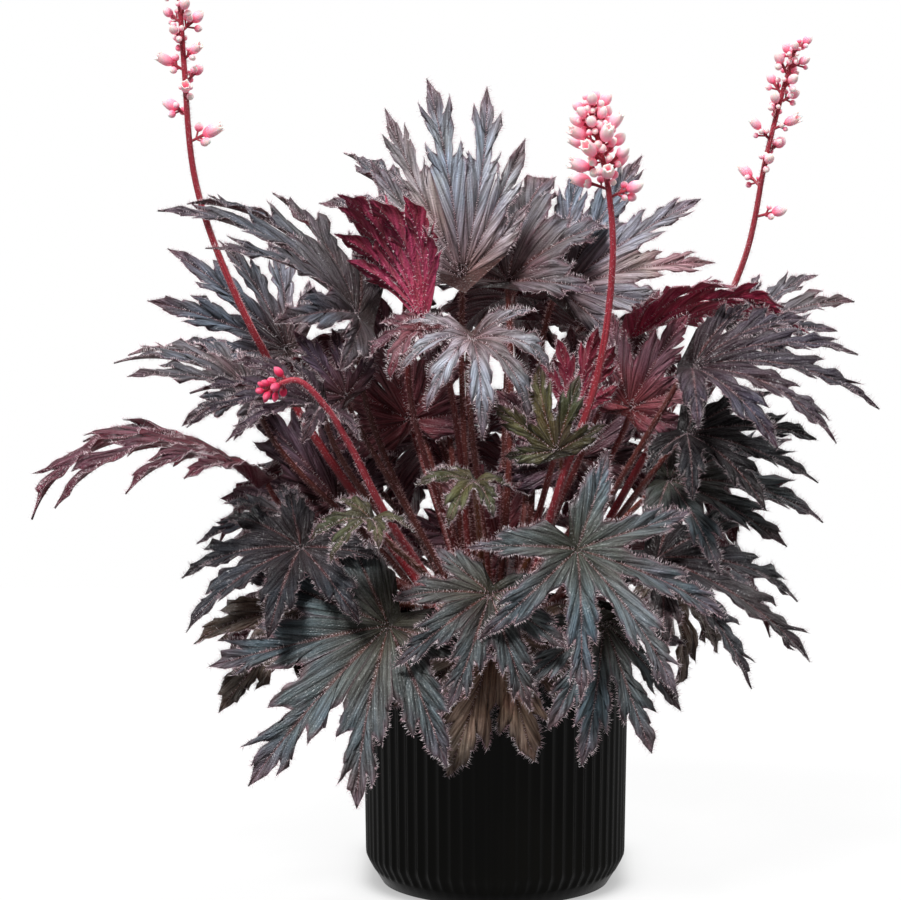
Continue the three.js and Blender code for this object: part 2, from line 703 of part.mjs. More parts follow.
function makeFlowerStalk(spec, foot, seed) {
  const low = new THREE.Vector3(foot.x, foot.y, SOIL.top - SOIL.holeDepth + 1);
  const start = new THREE.Vector3(foot.x, foot.y, SOIL.top + SOIL.crown + STALK.upright);
  const curve = new THREE.CatmullRomCurve3([start, ...spec.line.map(vec)], false, "centripetal");
  const points = curve.getSpacedPoints(14);
  const radii = [1, ...points.map((_, i) => 1 - (0.5 * i) / (points.length - 1))].map((k) => k * spec.radius);
  const { count, from, crowding, arm, size } = spec.flowers;
  const florets = [];
  for (let i = 0; i < count; i++) {
    const share = ((i + 0.5) / count) ** crowding;
    const reach = FLORET.rooted + 0.2 + arm * (1 - 0.45 * share) * (1 + 0.25 * draw(seed, i + 50));
    const bell = size * (1 - 0.3 * share + 0.1 * draw(seed, i));
    const { at, tangent } = alongLine(points, from + (1 - from) * share);
    florets.push(freeFloret(florets, at, tangent, FLORET.turn * i, 0.25 + 0.8 * share, reach, bell));
  }
  const stem = tube([low, ...points], radii, STALK.sides);
  return wasm.Manifold.union([stem, ...florets.map((floret) => floret.whole)]);
}

// A floret at its turn round the stem, turned on and held a little further out while it would cross
// another, so that no two touch outside the stem.
function freeFloret(florets, at, tangent, turn, forward, arm, size) {
  const side = new THREE.Vector3(0, 1, 0).cross(tangent).normalize();
  for (let k = 0; ; k++) {
    const outward = side.clone().applyAxisAngle(tangent, radians(turn + 37 * k));
    const lean = outward.addScaledVector(tangent, forward).normalize();
    const floret = makeFloret(at, lean, arm + 0.4 * k, size);
    if (florets.every((other) => floret.free.minGap(other.free, 1) > 0.2)) return floret;
  }
}

// ---------------------------------------------------------------- compost

// Potting compost that fills the pot to below its rim, with a plain hole for each stalk.
function makeSoil(feet, holeRadii) {
  const inner = (z) => {
    const wallFoot = POT.wallFootRadius - POT.ribDepth - POT.wall;
    const rim = POT.rimRadius - POT.ribDepth - POT.wall;
    const share = (z - POT.wallFootHeight) / (POT.height + 1 - POT.wallFootHeight);
    return THREE.MathUtils.lerp(wallFoot, rim, share) - SOIL.gap;
  };
  const profile = [
    [0, POT.floor + SOIL.gap],
    [POT.footRadius - POT.wall - SOIL.gap, POT.floor + SOIL.gap],
    [inner(POT.wallFootHeight), POT.wallFootHeight + SOIL.gap],
    [inner(SOIL.top), SOIL.top],
    [FEET.reach + 6, SOIL.top + SOIL.crown],
    [0, SOIL.top + SOIL.crown],
  ].map(([r, z]) => new THREE.Vector2(r, z));
  const body = solidOf(new THREE.LatheGeometry(profile, SOIL.sides).rotateX(Math.PI / 2));
  const holes = feet.map((foot, i) => {
    const ends = [SOIL.top - SOIL.holeDepth, SOIL.top + 2 * SOIL.crown];
    const line = ends.map((z) => new THREE.Vector3(foot.x, foot.y, z));
    const radius = (holeRadii[i] + SOIL.holeGap) / Math.cos(Math.PI / SOIL.holeSides);
    return tube(line, [radius, radius], SOIL.holeSides);
  });
  return body.subtract(wasm.Manifold.union(holes));
}

// ---------------------------------------------------------------- the plant in its pot

const leaves = [
  ...LEAVES.map((leaf) => ({ ...leaf, hub: vec(leaf.hub), tip: vec(leaf.tip), face: vec(leaf.face) })),
  ...backLeaves(),
].map((leaf, i) => ({ ...leaf, seed: i + 1 }));
const feet = placeFeet([...leaves.map((leaf) => leaf.hub), ...FLOWER_STALKS.map((s) => vec(s.line[0]))]);

const heuchera = new THREE.Group();
const placed = [];
const pot = makePot();
heuchera.add(meshOf("pot", pot, COLOURS.pot));
place(pot, placed);

FLOWER_STALKS.forEach((spec, i) => {
  const solid = makeFlowerStalk(spec, feet[leaves.length + i], i + 1);
  heuchera.add(meshOf(spec.name, solid, COLOURS.flower));
  place(solid, placed);
});
leaves.forEach((leaf, i) => {
  heuchera.add(meshOf(leaf.name, makeLeaf(leaf, feet[i], placed), COLOURS[leaf.tint]));
});
const holeRadii = [...leaves.map(() => STALK.footRadius), ...FLOWER_STALKS.map((spec) => spec.radius)];
heuchera.add(meshOf("compost", makeSoil(feet, holeRadii), COLOURS.soil));

export default heuchera;
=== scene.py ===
"""A potted heuchera: a mound of dark, deeply cut leaves and four flower stalks in a ribbed black pot.

Sizes are in millimetres, and meshes are put into the scene in metres, +Z up, best side towards -Y.
"""

import bpy
import numpy as np
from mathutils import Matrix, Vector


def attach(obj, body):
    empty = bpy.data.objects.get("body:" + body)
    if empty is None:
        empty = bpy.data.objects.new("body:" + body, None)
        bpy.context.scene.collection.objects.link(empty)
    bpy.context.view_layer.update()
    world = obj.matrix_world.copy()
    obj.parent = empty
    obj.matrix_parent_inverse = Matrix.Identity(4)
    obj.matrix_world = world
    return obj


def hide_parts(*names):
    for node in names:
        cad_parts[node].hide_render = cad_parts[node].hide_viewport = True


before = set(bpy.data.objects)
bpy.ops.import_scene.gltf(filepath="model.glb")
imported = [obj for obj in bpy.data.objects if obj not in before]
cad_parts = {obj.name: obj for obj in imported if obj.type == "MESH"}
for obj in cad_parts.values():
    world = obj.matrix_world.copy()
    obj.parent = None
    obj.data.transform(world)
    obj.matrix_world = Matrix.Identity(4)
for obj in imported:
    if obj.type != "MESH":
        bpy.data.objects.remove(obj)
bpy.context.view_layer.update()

# ---------------------------------------------------------------- pot
# The pot is injection moulded in black polypropylene, with fine upright ribs over the wall and its lower
# chamfer, a plain foot and a narrow plain lip. Moulding leaves a satin skin with a very fine grain.

METRES_PER_MM = 0.001

POT = {
    "height": 155, "rim": 76.2, "wall_foot": 74.4, "wall_foot_height": 17,
    "rib_end": 69.6, "rib_end_height": 7.7, "foot": 65,
    "wall": 3, "floor": 4, "lip": 3, "ribs": 66, "rib_depth": 1.3, "steps_per_rib": 8,
}


def sheet(points, material=0, uv=(0, 0), tint=(1, 1, 1), flipped=False, closed=False):
    """A surface from a grid of points, with two triangles for each cell. A closed grid's last column is
    joined to its first. The triangles face the side from which the rows run up and the columns right,
    or the other side where the sheet is flipped."""
    rows, columns = points.shape[:2]
    across = np.arange(columns if closed else columns - 1)
    starts = np.arange(rows - 1)[:, None] * columns
    here, beside = (starts + across).ravel(), (starts + (across + 1) % columns).ravel()
    lower = np.stack([here, beside, beside + columns], axis=1)
    upper = np.stack([here, beside + columns, here + columns], axis=1)
    triangles = np.vstack([lower, upper])
    return {
        "points": points.reshape(-1, 3), "triangles": triangles[:, ::-1] if flipped else triangles,
        "material": material, "uv": np.reshape(uv, (-1, 2)), "tint": np.reshape(tint, (-1, 3)),
    }


def make_piece(name, surfaces, materials, nodes):
    """An object from surfaces, one after another. Points that fall together, to a thousandth of a
    millimetre, become one, and triangles that this leaves without an area are dropped. UVs and tints
    stay with the corners."""
    starts = np.cumsum([0] + [len(s["points"]) for s in surfaces])
    triangles = np.vstack([s["triangles"] + start for s, start in zip(surfaces, starts)])
    points = np.vstack([s["points"] for s in surfaces])
    keys = np.round(points * 1000).astype(np.int64)
    _, first, merged = np.unique(keys, axis=0, return_index=True, return_inverse=True)
    corners = merged.reshape(-1)[triangles]
    kept = np.all(corners != np.roll(corners, 1, axis=1), axis=1)
    loops = triangles[kept].ravel()
    uvs, tints = (
        np.vstack([np.broadcast_to(s.get(key, blank), (len(s["points"]), len(blank))) for s in surfaces])
        for key, blank in (("uv", (0, 0)), ("tint", (1, 1, 1)))
    )
    tints = np.hstack([tints, np.ones((len(tints), 1))])
    slots = np.concatenate([np.full(len(s["triangles"]), s.get("material", 0)) for s in surfaces])
    mesh = bpy.data.meshes.new(name)
    mesh.from_pydata(points[first] * METRES_PER_MM, [], corners[kept])
    mesh.uv_layers.new(name="UVMap").data.foreach_set("uv", uvs[loops].ravel())
    tint_layer = mesh.color_attributes.new("tint", "FLOAT_COLOR", "CORNER")
    tint_layer.data.foreach_set("color", tints[loops].ravel())
    mesh.polygons.foreach_set("material_index", slots[kept].astype(np.int32))
    mesh.polygons.foreach_set("use_smooth", np.ones(len(mesh.polygons), dtype=bool))
    for material in materials:
        mesh.materials.append(material)
    mesh.update()
    piece = bpy.data.objects.new(name, mesh)
    bpy.context.scene.collection.objects.link(piece)
    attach(piece, "root")
    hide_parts(*nodes)


def new_material(name, **settings):
    """A material with a Principled shader, whose sockets are set by name."""
    material = bpy.data.materials.new(name)
    material.use_nodes = True
    shader = material.node_tree.nodes["Principled BSDF"]
    for socket, value in settings.items():
        shader.inputs[socket.replace("_", " ")].default_value = value
    return material, shader


def add_node(material, kind, inputs=None, **options):
    """A shader node. An input is a value, or the output socket of another node, which is then linked."""
    tree = material.node_tree
    made = tree.nodes.new("ShaderNode" + kind)
    for option, value in options.items():
        setattr(made, option, value)
    for socket, value in (inputs or {}).items():
        if isinstance(value, bpy.types.NodeSocket):
            tree.links.new(value, made.inputs[socket])
        else:
            made.inputs[socket].default_value = value
    return made


def ramp(material, factor, stops):
    """A colour ramp with stops given as (place, grey or colour)."""
    made = add_node(material, "ValToRGB", {"Fac": factor})
    elements = made.color_ramp.elements
    while len(elements) < len(stops):
        elements.new(1)
    for element, (place, colour) in zip(elements, stops):
        element.position = place
        element.color = (colour, colour, colour, 1) if np.isscalar(colour) else (*colour, 1)
    return made.outputs["Color"]


def object_place(material):
    """Where a spot is on its piece, in metres."""
    return add_node(material, "TexCoord").outputs["Object"]


def noise(material, scale, detail=4, vector=None):
    """Noise on object coordinates, or on the vector given. The scale is in waves a metre or a UV unit."""
    vector = vector or object_place(material)
    return add_node(material, "TexNoise", {"Vector": vector, "Scale": scale, "Detail": detail}).outputs["Fac"]


def finish_with(material, shader, colour, roughness=None, height=None, depth=0.0002):
    """Links a colour, a roughness and a bump height, in that depth in metres, to the shader."""
    normal = None
    if height is not None:
        bump = add_node(material, "Bump", {"Height": height, "Distance": depth, "Strength": 1.0})
        normal = bump.outputs["Normal"]
    for socket, value in (("Base Color", colour), ("Roughness", roughness), ("Normal", normal)):
        if value is not None:
            material.node_tree.links.new(value, shader.inputs[socket])


def ribbed_wall():
    """The pot as a profile of (radius, height, share of the rib depth) carried round in a full turn.
    At each angle the radius is lessened by the depth times a power of the sine of the rib's phase, so
    that crests are narrow and grooves wide. The profile runs up the outside, over the lip and down the
    inside to the middle of the floor, with small rounds at the lip and the foot."""
    top, rim, foot, floor = (POT[key] for key in ("height", "rim", "foot", "floor"))
    wall_foot, wall_low = POT["wall_foot"], POT["wall_foot_height"]
    rib_end, rib_low = POT["rib_end"], POT["rib_end_height"]
    rib_top = top - POT["lip"]
    inner, inner_foot = (radius - POT["rib_depth"] - POT["wall"] for radius in (rim, wall_foot))
    profile = np.array([
        (0, 1.2, 0), (foot - 9, 1.2, 0), (foot - 6, 0, 0), (foot - 1.2, 0, 0), (foot, 0.5, 0),
        (rib_end - 0.6, rib_low - 0.7, 0), (rib_end, rib_low, 0.12), (rib_end + 0.9, rib_low + 1.4, 0.9),
        (wall_foot - 1.2, wall_low - 3, 1), (wall_foot - 0.3, wall_low - 0.9, 1),
        (wall_foot, wall_low + 1.2, 1),
        (rim - 0.1, rib_top - 1.6, 1), (rim, rib_top - 0.5, 0.3), (rim, rib_top, 0),
        (rim, top - 0.6, 0), (rim - 0.6, top, 0), (inner + 0.6, top, 0), (inner, top - 0.6, 0),
        (inner_foot, wall_low, 0), (foot - POT["wall"], floor, 0), (0, floor, 0),
    ])
    columns = POT["ribs"] * POT["steps_per_rib"]
    angle = 2 * np.pi * np.arange(columns) / columns
    groove = (0.5 - 0.5 * np.cos(POT["ribs"] * angle)) ** 0.6
    radius = profile[:, :1] - POT["rib_depth"] * profile[:, 2:] * groove
    height = np.broadcast_to(profile[:, 1:2], radius.shape)
    return sheet(np.stack([radius * np.cos(angle), radius * np.sin(angle), height], axis=-1), closed=True)


pot_plastic, shader = new_material("pot_plastic", Specular_IOR_Level=0.07)
handling = noise(pot_plastic, 22, 5)
finish_with(
    pot_plastic, shader,
    colour=ramp(pot_plastic, handling, [(0.3, (0.0014, 0.0012, 0.0007)), (0.75, (0.0026, 0.0023, 0.0013))]),
    roughness=ramp(pot_plastic, handling, [(0.3, 0.18), (0.7, 0.26)]),
    height=noise(pot_plastic, 900, 6), depth=0.00004,
)
make_piece("pot_black_ribbed", [ribbed_wall()], [pot_plastic], ["pot"])

# ---------------------------------------------------------------- compost
# Bark and peat compost fills the pot to below its rim and is slightly mounded round the crown. It was
# poured in and firmed by hand, so its top is uneven, with loose crumbs of bark and a few pale grains.

COMPOST = {
    "top": 140, "gap": 0.9, "crown": 3, "crown_radius": 52, "depth": 12, "waves": [3, 4, 5, 6, 8, 10, 13, 20],
    "crumbs": 420, "crumb_reach": 66,
}
COMPOST["radius"] = POT["rim"] - POT["rib_depth"] - POT["wall"] - COMPOST["gap"]


def mound(radius):
    """Height of the compost's middle plane: level, and rising evenly from its rim to the crown."""
    slope = (COMPOST["radius"] - radius) / (COMPOST["radius"] - COMPOST["crown_radius"])
    return COMPOST["top"] + COMPOST["crown"] * np.clip(slope, 0, 1)


def ruffle(x, y, waves, seed):
    """Uneven height at (x, y), as the mean of seeded waves of the given lengths in random directions."""
    draw = np.random.default_rng(seed)
    turn = draw.uniform(0, 2 * np.pi, len(waves))
    phase = draw.uniform(0, 2 * np.pi, len(waves))
    along = np.multiply.outer(x, np.cos(turn) / waves) + np.multiply.outer(y, np.sin(turn) / waves)
    return np.sin(2 * np.pi * along + phase).mean(axis=-1)


def compost_body():
    """A disc with an uneven top: a polar grid whose height falls from the mounded middle to the rim,
    with waves of 3 to 20 mm on it, closed by a straight side and a flat underside."""
    rim = COMPOST["radius"]
    radius = np.concatenate([np.linspace(0, rim, 46), [rim, rim - 1, 0]])[:, None]
    angle = 2 * np.pi * np.arange(180) / 180
    x, y = radius * np.cos(angle), radius * np.sin(angle)
    height = mound(radius) + 2.4 * ruffle(x, y, np.array(COMPOST["waves"]), 3) - 0.8
    height[-2:] = COMPOST["top"] - COMPOST["depth"]
    height[-3] = height[-4]
    height[0] = height[0].mean()
    return sheet(np.stack([x, y, height], axis=-1), flipped=True, closed=True)


def crumbs(count, seed):
    """Loose crumbs of bark: octahedra stretched by seeded amounts along the three axes, turned about
    the upright axis, and half sunk where they lie on the compost."""
    draw = np.random.default_rng(seed)
    corners = np.array([[1, 0, 0], [0, 1, 0], [-1, 0, 0], [0, -1, 0], [0, 0, 1], [0, 0, -1]])
    faces = np.array([[0, 1, 4], [1, 2, 4], [2, 3, 4], [3, 0, 4], [1, 0, 5], [2, 1, 5], [3, 2, 5], [0, 3, 5]])
    stretch = draw.uniform((1.0, 0.7, 0.4), (3.2, 1.8, 1.1), (count, 3))
    turn = draw.uniform(0, 2 * np.pi, (count, 1))
    distance = COMPOST["crumb_reach"] * np.sqrt(draw.uniform(0, 1, (count, 1)))
    bearing = draw.uniform(0, 2 * np.pi, (count, 1))
    local = corners * stretch[:, None] * (1 + 0.15 * draw.standard_normal((count, 6, 1)))
    across, along, up = np.moveaxis(local, 2, 0)
    x = across * np.cos(turn) - along * np.sin(turn) + distance * np.cos(bearing)
    y = across * np.sin(turn) + along * np.cos(turn) + distance * np.sin(bearing)
    triangles = faces + 6 * np.arange(count)[:, None, None]
    points = np.stack([x, y, up + mound(distance)], axis=-1)
    return {"points": points.reshape(-1, 3), "triangles": triangles.reshape(-1, 3)}


compost_peat, shader = new_material("compost_peat", Specular_IOR_Level=0.2)
grain = noise(compost_peat, 260, 8)
grit = add_node(compost_peat, "TexVoronoi", {"Vector": object_place(compost_peat), "Scale": 520.0})
finish_with(
    compost_peat, shader,
    colour=ramp(compost_peat, grain, [
        (0.3, (0.006, 0.0035, 0.002)), (0.5, (0.02, 0.011, 0.006)),
        (0.64, (0.045, 0.025, 0.014)), (0.74, (0.13, 0.09, 0.055)),
    ]),
    roughness=ramp(compost_peat, grain, [(0.3, 0.8), (0.7, 1.0)]),
    height=grit.outputs["Distance"], depth=0.0012,
)
make_piece(
    "compost_surface", [compost_body(), crumbs(COMPOST["crumbs"], 8)], [compost_peat], ["compost"],
)

# ---------------------------------------------------------------- leaves
# Each leaf is a palmate blade, cut into toothed lobes, on its own long hairy stalk. The lobes are
# channelled along their ribs, slate or teal above and burgundy below, and fringed with pale hairs.

BLADE = {
    "thickness": 0.5, "solid_thickness": 1, "fold": 0.42, "heel": 0.08, "slant": 1.9, "vein_slant": 4.0,
    "vein_gap": 21, "fine_vein_gap": 5.2,
    "columns": (0, 0.14, 0.45, 0.8, 1), "base_rows": 5, "corner_steps": 3,
}
STALK = {
    "low": 128, "start": 146, "square": 2, "foot_radius": 2.1, "hub_radius": 1.45, "steps": 30, "sides": 9,
}
HAIRS = {
    "width": 0.14, "margin_gap": 0.8, "rib_gap": 1.5, "stalk_gap": 0.25, "length": 2.9,
    "blade_tint": (0.95, 0.86, 0.89), "stalk_tint": (0.85, 0.56, 0.56),
}

# Lobes of half a leaf, from the middle one round to the stalk: (angle, reach, teeth a side).
FORMS = {
    "full": {"lobes": [(0, 1, 2), (36, 0.93, 2), (75, 0.78, 1), (119, 0.6, 1)], "base": (154, 0.24)},
    "plain": {"lobes": [(0, 1, 1), (37, 0.9, 1), (78, 0.76, 1), (122, 0.58, 1)], "base": (156, 0.24)},
    "small": {"lobes": [(0, 1, 1), (44, 0.86, 1), (96, 0.62, 1)], "base": (140, 0.24)},
}

# One side of a lobe. Its first stretch runs from the notch to the first tooth: (share of the way, how far
# outside the straight line), then come corners (along the rib, across it), all in lobe lengths. The last
# number is how far the stretch of margin that ends there is bowed outwards, as a share of its length.
FIRST_STRETCH = [(0.34, -0.016, -0.08), (0.56, 0.004, 0.06), (0.62, -0.008, 0)]
TEETH = {
    2: [
        (0.66, 0.132, 0.08), (0.6, 0.058, -0.12), (0.7, 0.078, -0.05), (0.77, 0.094, 0.06), (0.78, 0.082, 0),
        (0.87, 0.105, 0.08), (0.795, 0.04, -0.12), (0.9, 0.048, 0.06), (0.905, 0.036, 0), (1, 0, 0),
    ],
    1: [
        (0.74, 0.135, 0.1), (0.665, 0.06, -0.12), (0.78, 0.08, 0.06), (0.79, 0.068, 0), (0.89, 0.06, 0.06),
        (0.895, 0.046, 0), (1, 0, 0),
    ],
}

# Colours in linear light: the blade above at its hub and further out, the blade below, the margin and
# points, and the stalk.
TINTS = {
    "dark": [
        (0.062, 0.03, 0.03), (0.08, 0.086, 0.108), (0.085, 0.012, 0.022),
        (0.16, 0.055, 0.075), (0.11, 0.022, 0.018),
    ],
    "teal": [
        (0.055, 0.05, 0.032), (0.058, 0.076, 0.089), (0.075, 0.013, 0.02),
        (0.24, 0.14, 0.17), (0.12, 0.026, 0.016),
    ],
    "red": [
        (0.12, 0.016, 0.02), (0.1, 0.045, 0.06), (0.19, 0.014, 0.036),
        (0.22, 0.03, 0.055), (0.15, 0.018, 0.018),
    ],
    "olive": [
        (0.06, 0.045, 0.018), (0.056, 0.062, 0.026), (0.08, 0.016, 0.02),
        (0.12, 0.06, 0.05), (0.13, 0.04, 0.016),
    ],
    "brown": [
        (0.07, 0.036, 0.022), (0.08, 0.06, 0.048), (0.08, 0.02, 0.018),
        (0.12, 0.06, 0.045), (0.11, 0.03, 0.018),
    ],
}
WARM, RIM_TINT = np.array((1.32, 0.97, 0.8)), np.array((0.16, 0.075, 0.085))

# hub: where the stalk meets the blade. tip: the end of the middle lobe. face: the way the upper side
# looks. rise: how steeply the blade leaves the hub. arch: how far it has bent over by the tip. fan: how
# widely the lobes spread. Angles are in degrees. notch: how far in the notches lie. slim: how broad the
# lobes are. After it comes how light the blade is, in all or by colour: partly the leaf's own tone and
# partly painted light and shading, lighter for leaves that catch the light and much darker for leaves
# that lie in the shadow of others. taper: how strongly the lobes shorten towards the stalk, 1 where it
# isn't given. A leaf's place in the list is its seed.
LEAVES = [
    ("top_1", "full", "dark", (-19, 0, 347), (-37, 15, 459), (0.1, -0.95, 0.25),
     6, 26, 0.46, 0.58, 0.68, (2.6, 2.75, 2.65), 1.3),
    ("top_2", "full", "dark", (37, 35, 337), (118, 62, 388), (0, -0.85, 0.5),
     12, 36, 0.66, 0.5, 0.72, (1.8, 1.85, 1.85)),
    ("top_3", "full", "dark", (-78, -10, 325), (-187, -45, 393), (-0.1, -0.45, 0.9),
     16, 52, 0.68, 0.4, 0.7, 0.5),
    ("front_1", "full", "teal", (44, -105, 208), (100, -132, 134), (0.1, -0.8, 0.6),
     12, 38, 1.04, 0.3, 0.66, (1.1, 1.13, 1.18)),
    ("front_2", "full", "teal", (-58, -100, 165), (-138, -126, 84), (-0.3, -0.9, 0.4),
     12, 34, 0.94, 0.46, 0.95, 1),
    ("right_1", "full", "dark", (108, -60, 302), (210, -82, 284), (0.05, -0.45, 0.9),
     18, 58, 0.62, 0.34, 0.66, (0.3, 0.24, 0.3)),
    ("left_1", "full", "red", (-132, -40, 232), (-265, -66, 222), (0.1, 0.05, 1),
     34, 98, 0.5, 0.34, 0.6, (0.9, 0.66, 0.76)),
    ("right_2", "full", "red", (76, -24, 318), (176, -24, 318), (-0.1, 0.22, 0.95),
     24, 64, 0.6, 0.38, 0.8, 3.4),
    ("inner_1", "plain", "red", (-41, -35, 327), (-86, -50, 400), (0.5, 0.8, 0.3),
     4, 66, 0.26, 0.38, 1, (2, 2.9, 2.8)),
    ("left_2", "plain", "dark", (-102, -60, 199), (-164, -98, 160), (-0.25, -0.65, 0.75),
     14, 44, 1, 0.42, 0.88, 0.3),
    ("front_3", "full", "teal", (-3, -98, 184), (-24, -128, 126), (0.05, -0.85, 0.55),
     20, 54, 0.95, 0.44, 0.95, 0.85),
    ("right_3", "full", "dark", (94, -50, 197), (180, -66, 142), (0.3, -0.55, 0.8),
     14, 40, 0.85, 0.36, 0.7, 0.2),
    ("front_4", "plain", "brown", (2, -88, 162), (-22, -97, 80), (-0.05, -0.98, 0.1),
     8, 20, 0.9, 0.5, 1.3, 2.3),
    ("front_5", "plain", "teal", (59, -84, 166), (52, -104, 88), (0.15, -0.95, 0.2),
     10, 30, 0.64, 0.38, 0.85, 1),
    ("left_3", "full", "dark", (-97, -78, 279), (-166, -112, 272), (-0.1, -0.45, 0.9),
     22, 64, 0.72, 0.34, 0.66, (0.5, 0.3, 0.37)),
    ("left_4", "plain", "dark", (-138, 10, 278), (-217, -4, 301), (0.15, -0.45, 0.9),
     16, 62, 0.66, 0.38, 0.75, 1),
    ("left_5", "plain", "dark", (-122, 55, 303), (-192, 50, 363), (-0.2, -0.6, 0.75),
     12, 40, 0.6, 0.38, 0.75, 1.15),
    ("right_4", "plain", "dark", (106, -48, 264), (176, -76, 240), (0.1, -0.6, 0.8),
     18, 50, 0.8, 0.38, 0.75, 0.1),
    ("right_5", "plain", "teal", (92, -20, 240), (182, -22, 226), (0.2, -0.6, 0.8),
     12, 36, 0.8, 0.38, 0.8, 0.8),
    ("right_6", "plain", "dark", (130, 40, 310), (196, 40, 330), (0, -0.6, 0.8),
     14, 44, 0.75, 0.38, 0.75, 0.9),
    ("right_7", "small", "brown", (92, -18, 182), (100, -26, 112), (0.8, -0.55, 0.2),
     16, 60, 0.75, 0.36, 1, 1),
    ("left_6", "small", "dark", (-116, -8, 210), (-168, -20, 196), (-0.4, -0.55, 0.75),
     12, 44, 1, 0.36, 1, 0.9),
    ("inner_2", "small", "dark", (-84, -42, 282), (-116, -44, 318), (0, -0.9, 0.5),
     8, 30, 0.8, 0.36, 1, (0.9, 0.5, 0.6)),
    ("inner_3", "plain", "dark", (-13, -68, 318), (-6, -106, 268), (0.1, -0.6, 0.8),
     32, 110, 0.9, 0.32, 0.62, (2.1, 2.1, 2.0)),
    ("inner_4", "small", "red", (43, -38, 276), (53, -44, 324), (0.25, 0.85, 0.35), 4, 44, 0.5, 0.36, 1, 1),
    ("inner_5", "small", "olive", (28, -78, 264), (16, -66, 311), (-0.3, -0.9, 0.35),
     6, 30, 0.8, 0.36, 1, 0.8),
    ("inner_6", "small", "olive", (-12, -82, 241), (-25, -108, 220), (0, -0.6, 0.85),
     26, 80, 1, 0.36, 1, 0.7),
    ("inner_7", "small", "olive", (-72, -104, 226), (-94, -130, 206), (-0.2, -0.6, 0.8),
     24, 70, 1, 0.36, 1, 0.7),
    ("inner_8", "small", "red", (-35, -62, 323), (-54, -92, 298), (-0.2, -0.5, 0.85),
     26, 80, 0.9, 0.36, 1, 1),
    ("inner_9", "small", "red", (80, -32, 266), (108, -34, 322), (-0.1, -0.9, 0.35),
     8, 34, 0.9, 0.46, 1.1, 1.1),
    ("inner_10", "small", "red", (-50, 26, 262), (-68, 30, 336), (-0.1, -0.85, 0.5), 10, 36, 1, 0.5, 1.3, 1),
    ("inner_11", "small", "dark", (-92, 16, 214), (-146, 16, 270), (-0.1, -0.85, 0.5),
     10, 36, 1, 0.5, 1.3, (0.9, 0.5, 0.55)),
    ("inner_12", "small", "red", (-4, 48, 184), (-46, 44, 250), (0, -0.85, 0.5), 10, 36, 1, 0.5, 1.3, 0.9),
    ("inner_13", "small", "dark", (52, 26, 240), (46, 24, 318), (0.1, -0.85, 0.5),
     10, 36, 1, 0.5, 1.3, (0.9, 0.5, 0.55)),
    ("front_6", "small", "brown", (-100, -46, 166), (-152, -80, 112), (-0.2, -0.75, 0.6),
     14, 44, 0.95, 0.46, 1.2, 1),
]
LEAF_KEYS = (
    "name", "form", "tint", "hub", "tip", "face", "rise", "arch", "fan", "notch", "slim", "light_and_tone", "taper",
)

# The leaves of the back, tier by tier: how many, from which turn to which, how far out and how high the
# hubs are, how long the blades are and how far they dip.
BACK = [
    (5, 8, 166, 102, 184, 90, 44), (4, 30, 146, 98, 246, 96, 54),
    (3, 38, 142, 78, 316, 84, 52), (2, 66, 142, 42, 345, 80, -46),
]


def uneven(i, j):
    """A repeatable draw between -1 and 1 for a pair of numbers: the fraction of a large sine."""
    s = np.sin(i * 12.9898 + j * 78.233) * 43758.5453
    return 2 * (s - np.floor(s)) - 1


def unit(vectors):
    """Vectors made one long."""
    vectors = np.asarray(vectors, dtype=float)
    return vectors / np.maximum(np.linalg.norm(vectors, axis=-1, keepdims=True), 1e-12)


def back_leaves():
    """The leaves of the back: even turns round the plant with a seeded unevenness, each tilted down or
    up by its dip."""
    made = []
    for level, (count, first, last, radius, height, reach, dip) in enumerate(BACK):
        for i in range(count):
            u = [uneven(level * 10 + i + 1, k) for k in range(6)]
            turn = np.radians(first + (last - first) / (count - 1) * (i + 0.16 * u[1]))
            down = np.radians(dip + 8 * u[2])
            outward = np.array([np.cos(turn), np.sin(turn), 0])
            hub = outward * radius * (1 + 0.08 * u[3]) + (0, 0, height + 10 * u[4])
            tip = hub + reach * (1 + 0.08 * u[5]) * (outward * np.cos(down) - (0, 0, np.sin(down)))
            face = outward * (np.sin(down) + 0.25) + (0, 0, 1)
            name = f"back_{level + 1}{i + 1}"
            made.append((name, "small", "dark", hub, tip, face, 16, 48, 0.95, 0.52, 1.3, 1))
    return made


def bend(leaf, r, theta):
    """A ray from the hub is an arc that starts at the rise and bends steadily over. Gives how far it has
    gone along and out of the hub's plane at r, and its slope there."""
    rise = np.radians(leaf["rise"]) * (1 + 0.25 * np.sin(2 * theta + 2 * leaf["seed"]))
    arch = np.radians(leaf["arch"]) * (1 + 0.16 * np.sin(3 * theta + leaf["seed"]))
    slope = rise - arch * r
    return (np.sin(rise) - np.sin(slope)) / arch, (np.cos(slope) - np.cos(rise)) / arch, slope


def blade_axes(leaf):
    """T along the middle lobe where it leaves the hub, N up out of it, L to its left, and the size."""
    chord = leaf["tip"] - leaf["hub"]
    t = unit(chord)
    n = unit(leaf["face"] - (leaf["face"] @ t) * t)
    along, out, _ = bend(leaf, 1, 0)
    slope = np.arctan2(out, along)
    T = t * np.cos(slope) - n * np.sin(slope)
    N = t * np.sin(slope) + n * np.cos(slope)
    return {"T": T, "N": N, "L": np.cross(N, T), "size": np.linalg.norm(chord) / np.hypot(along, out)}


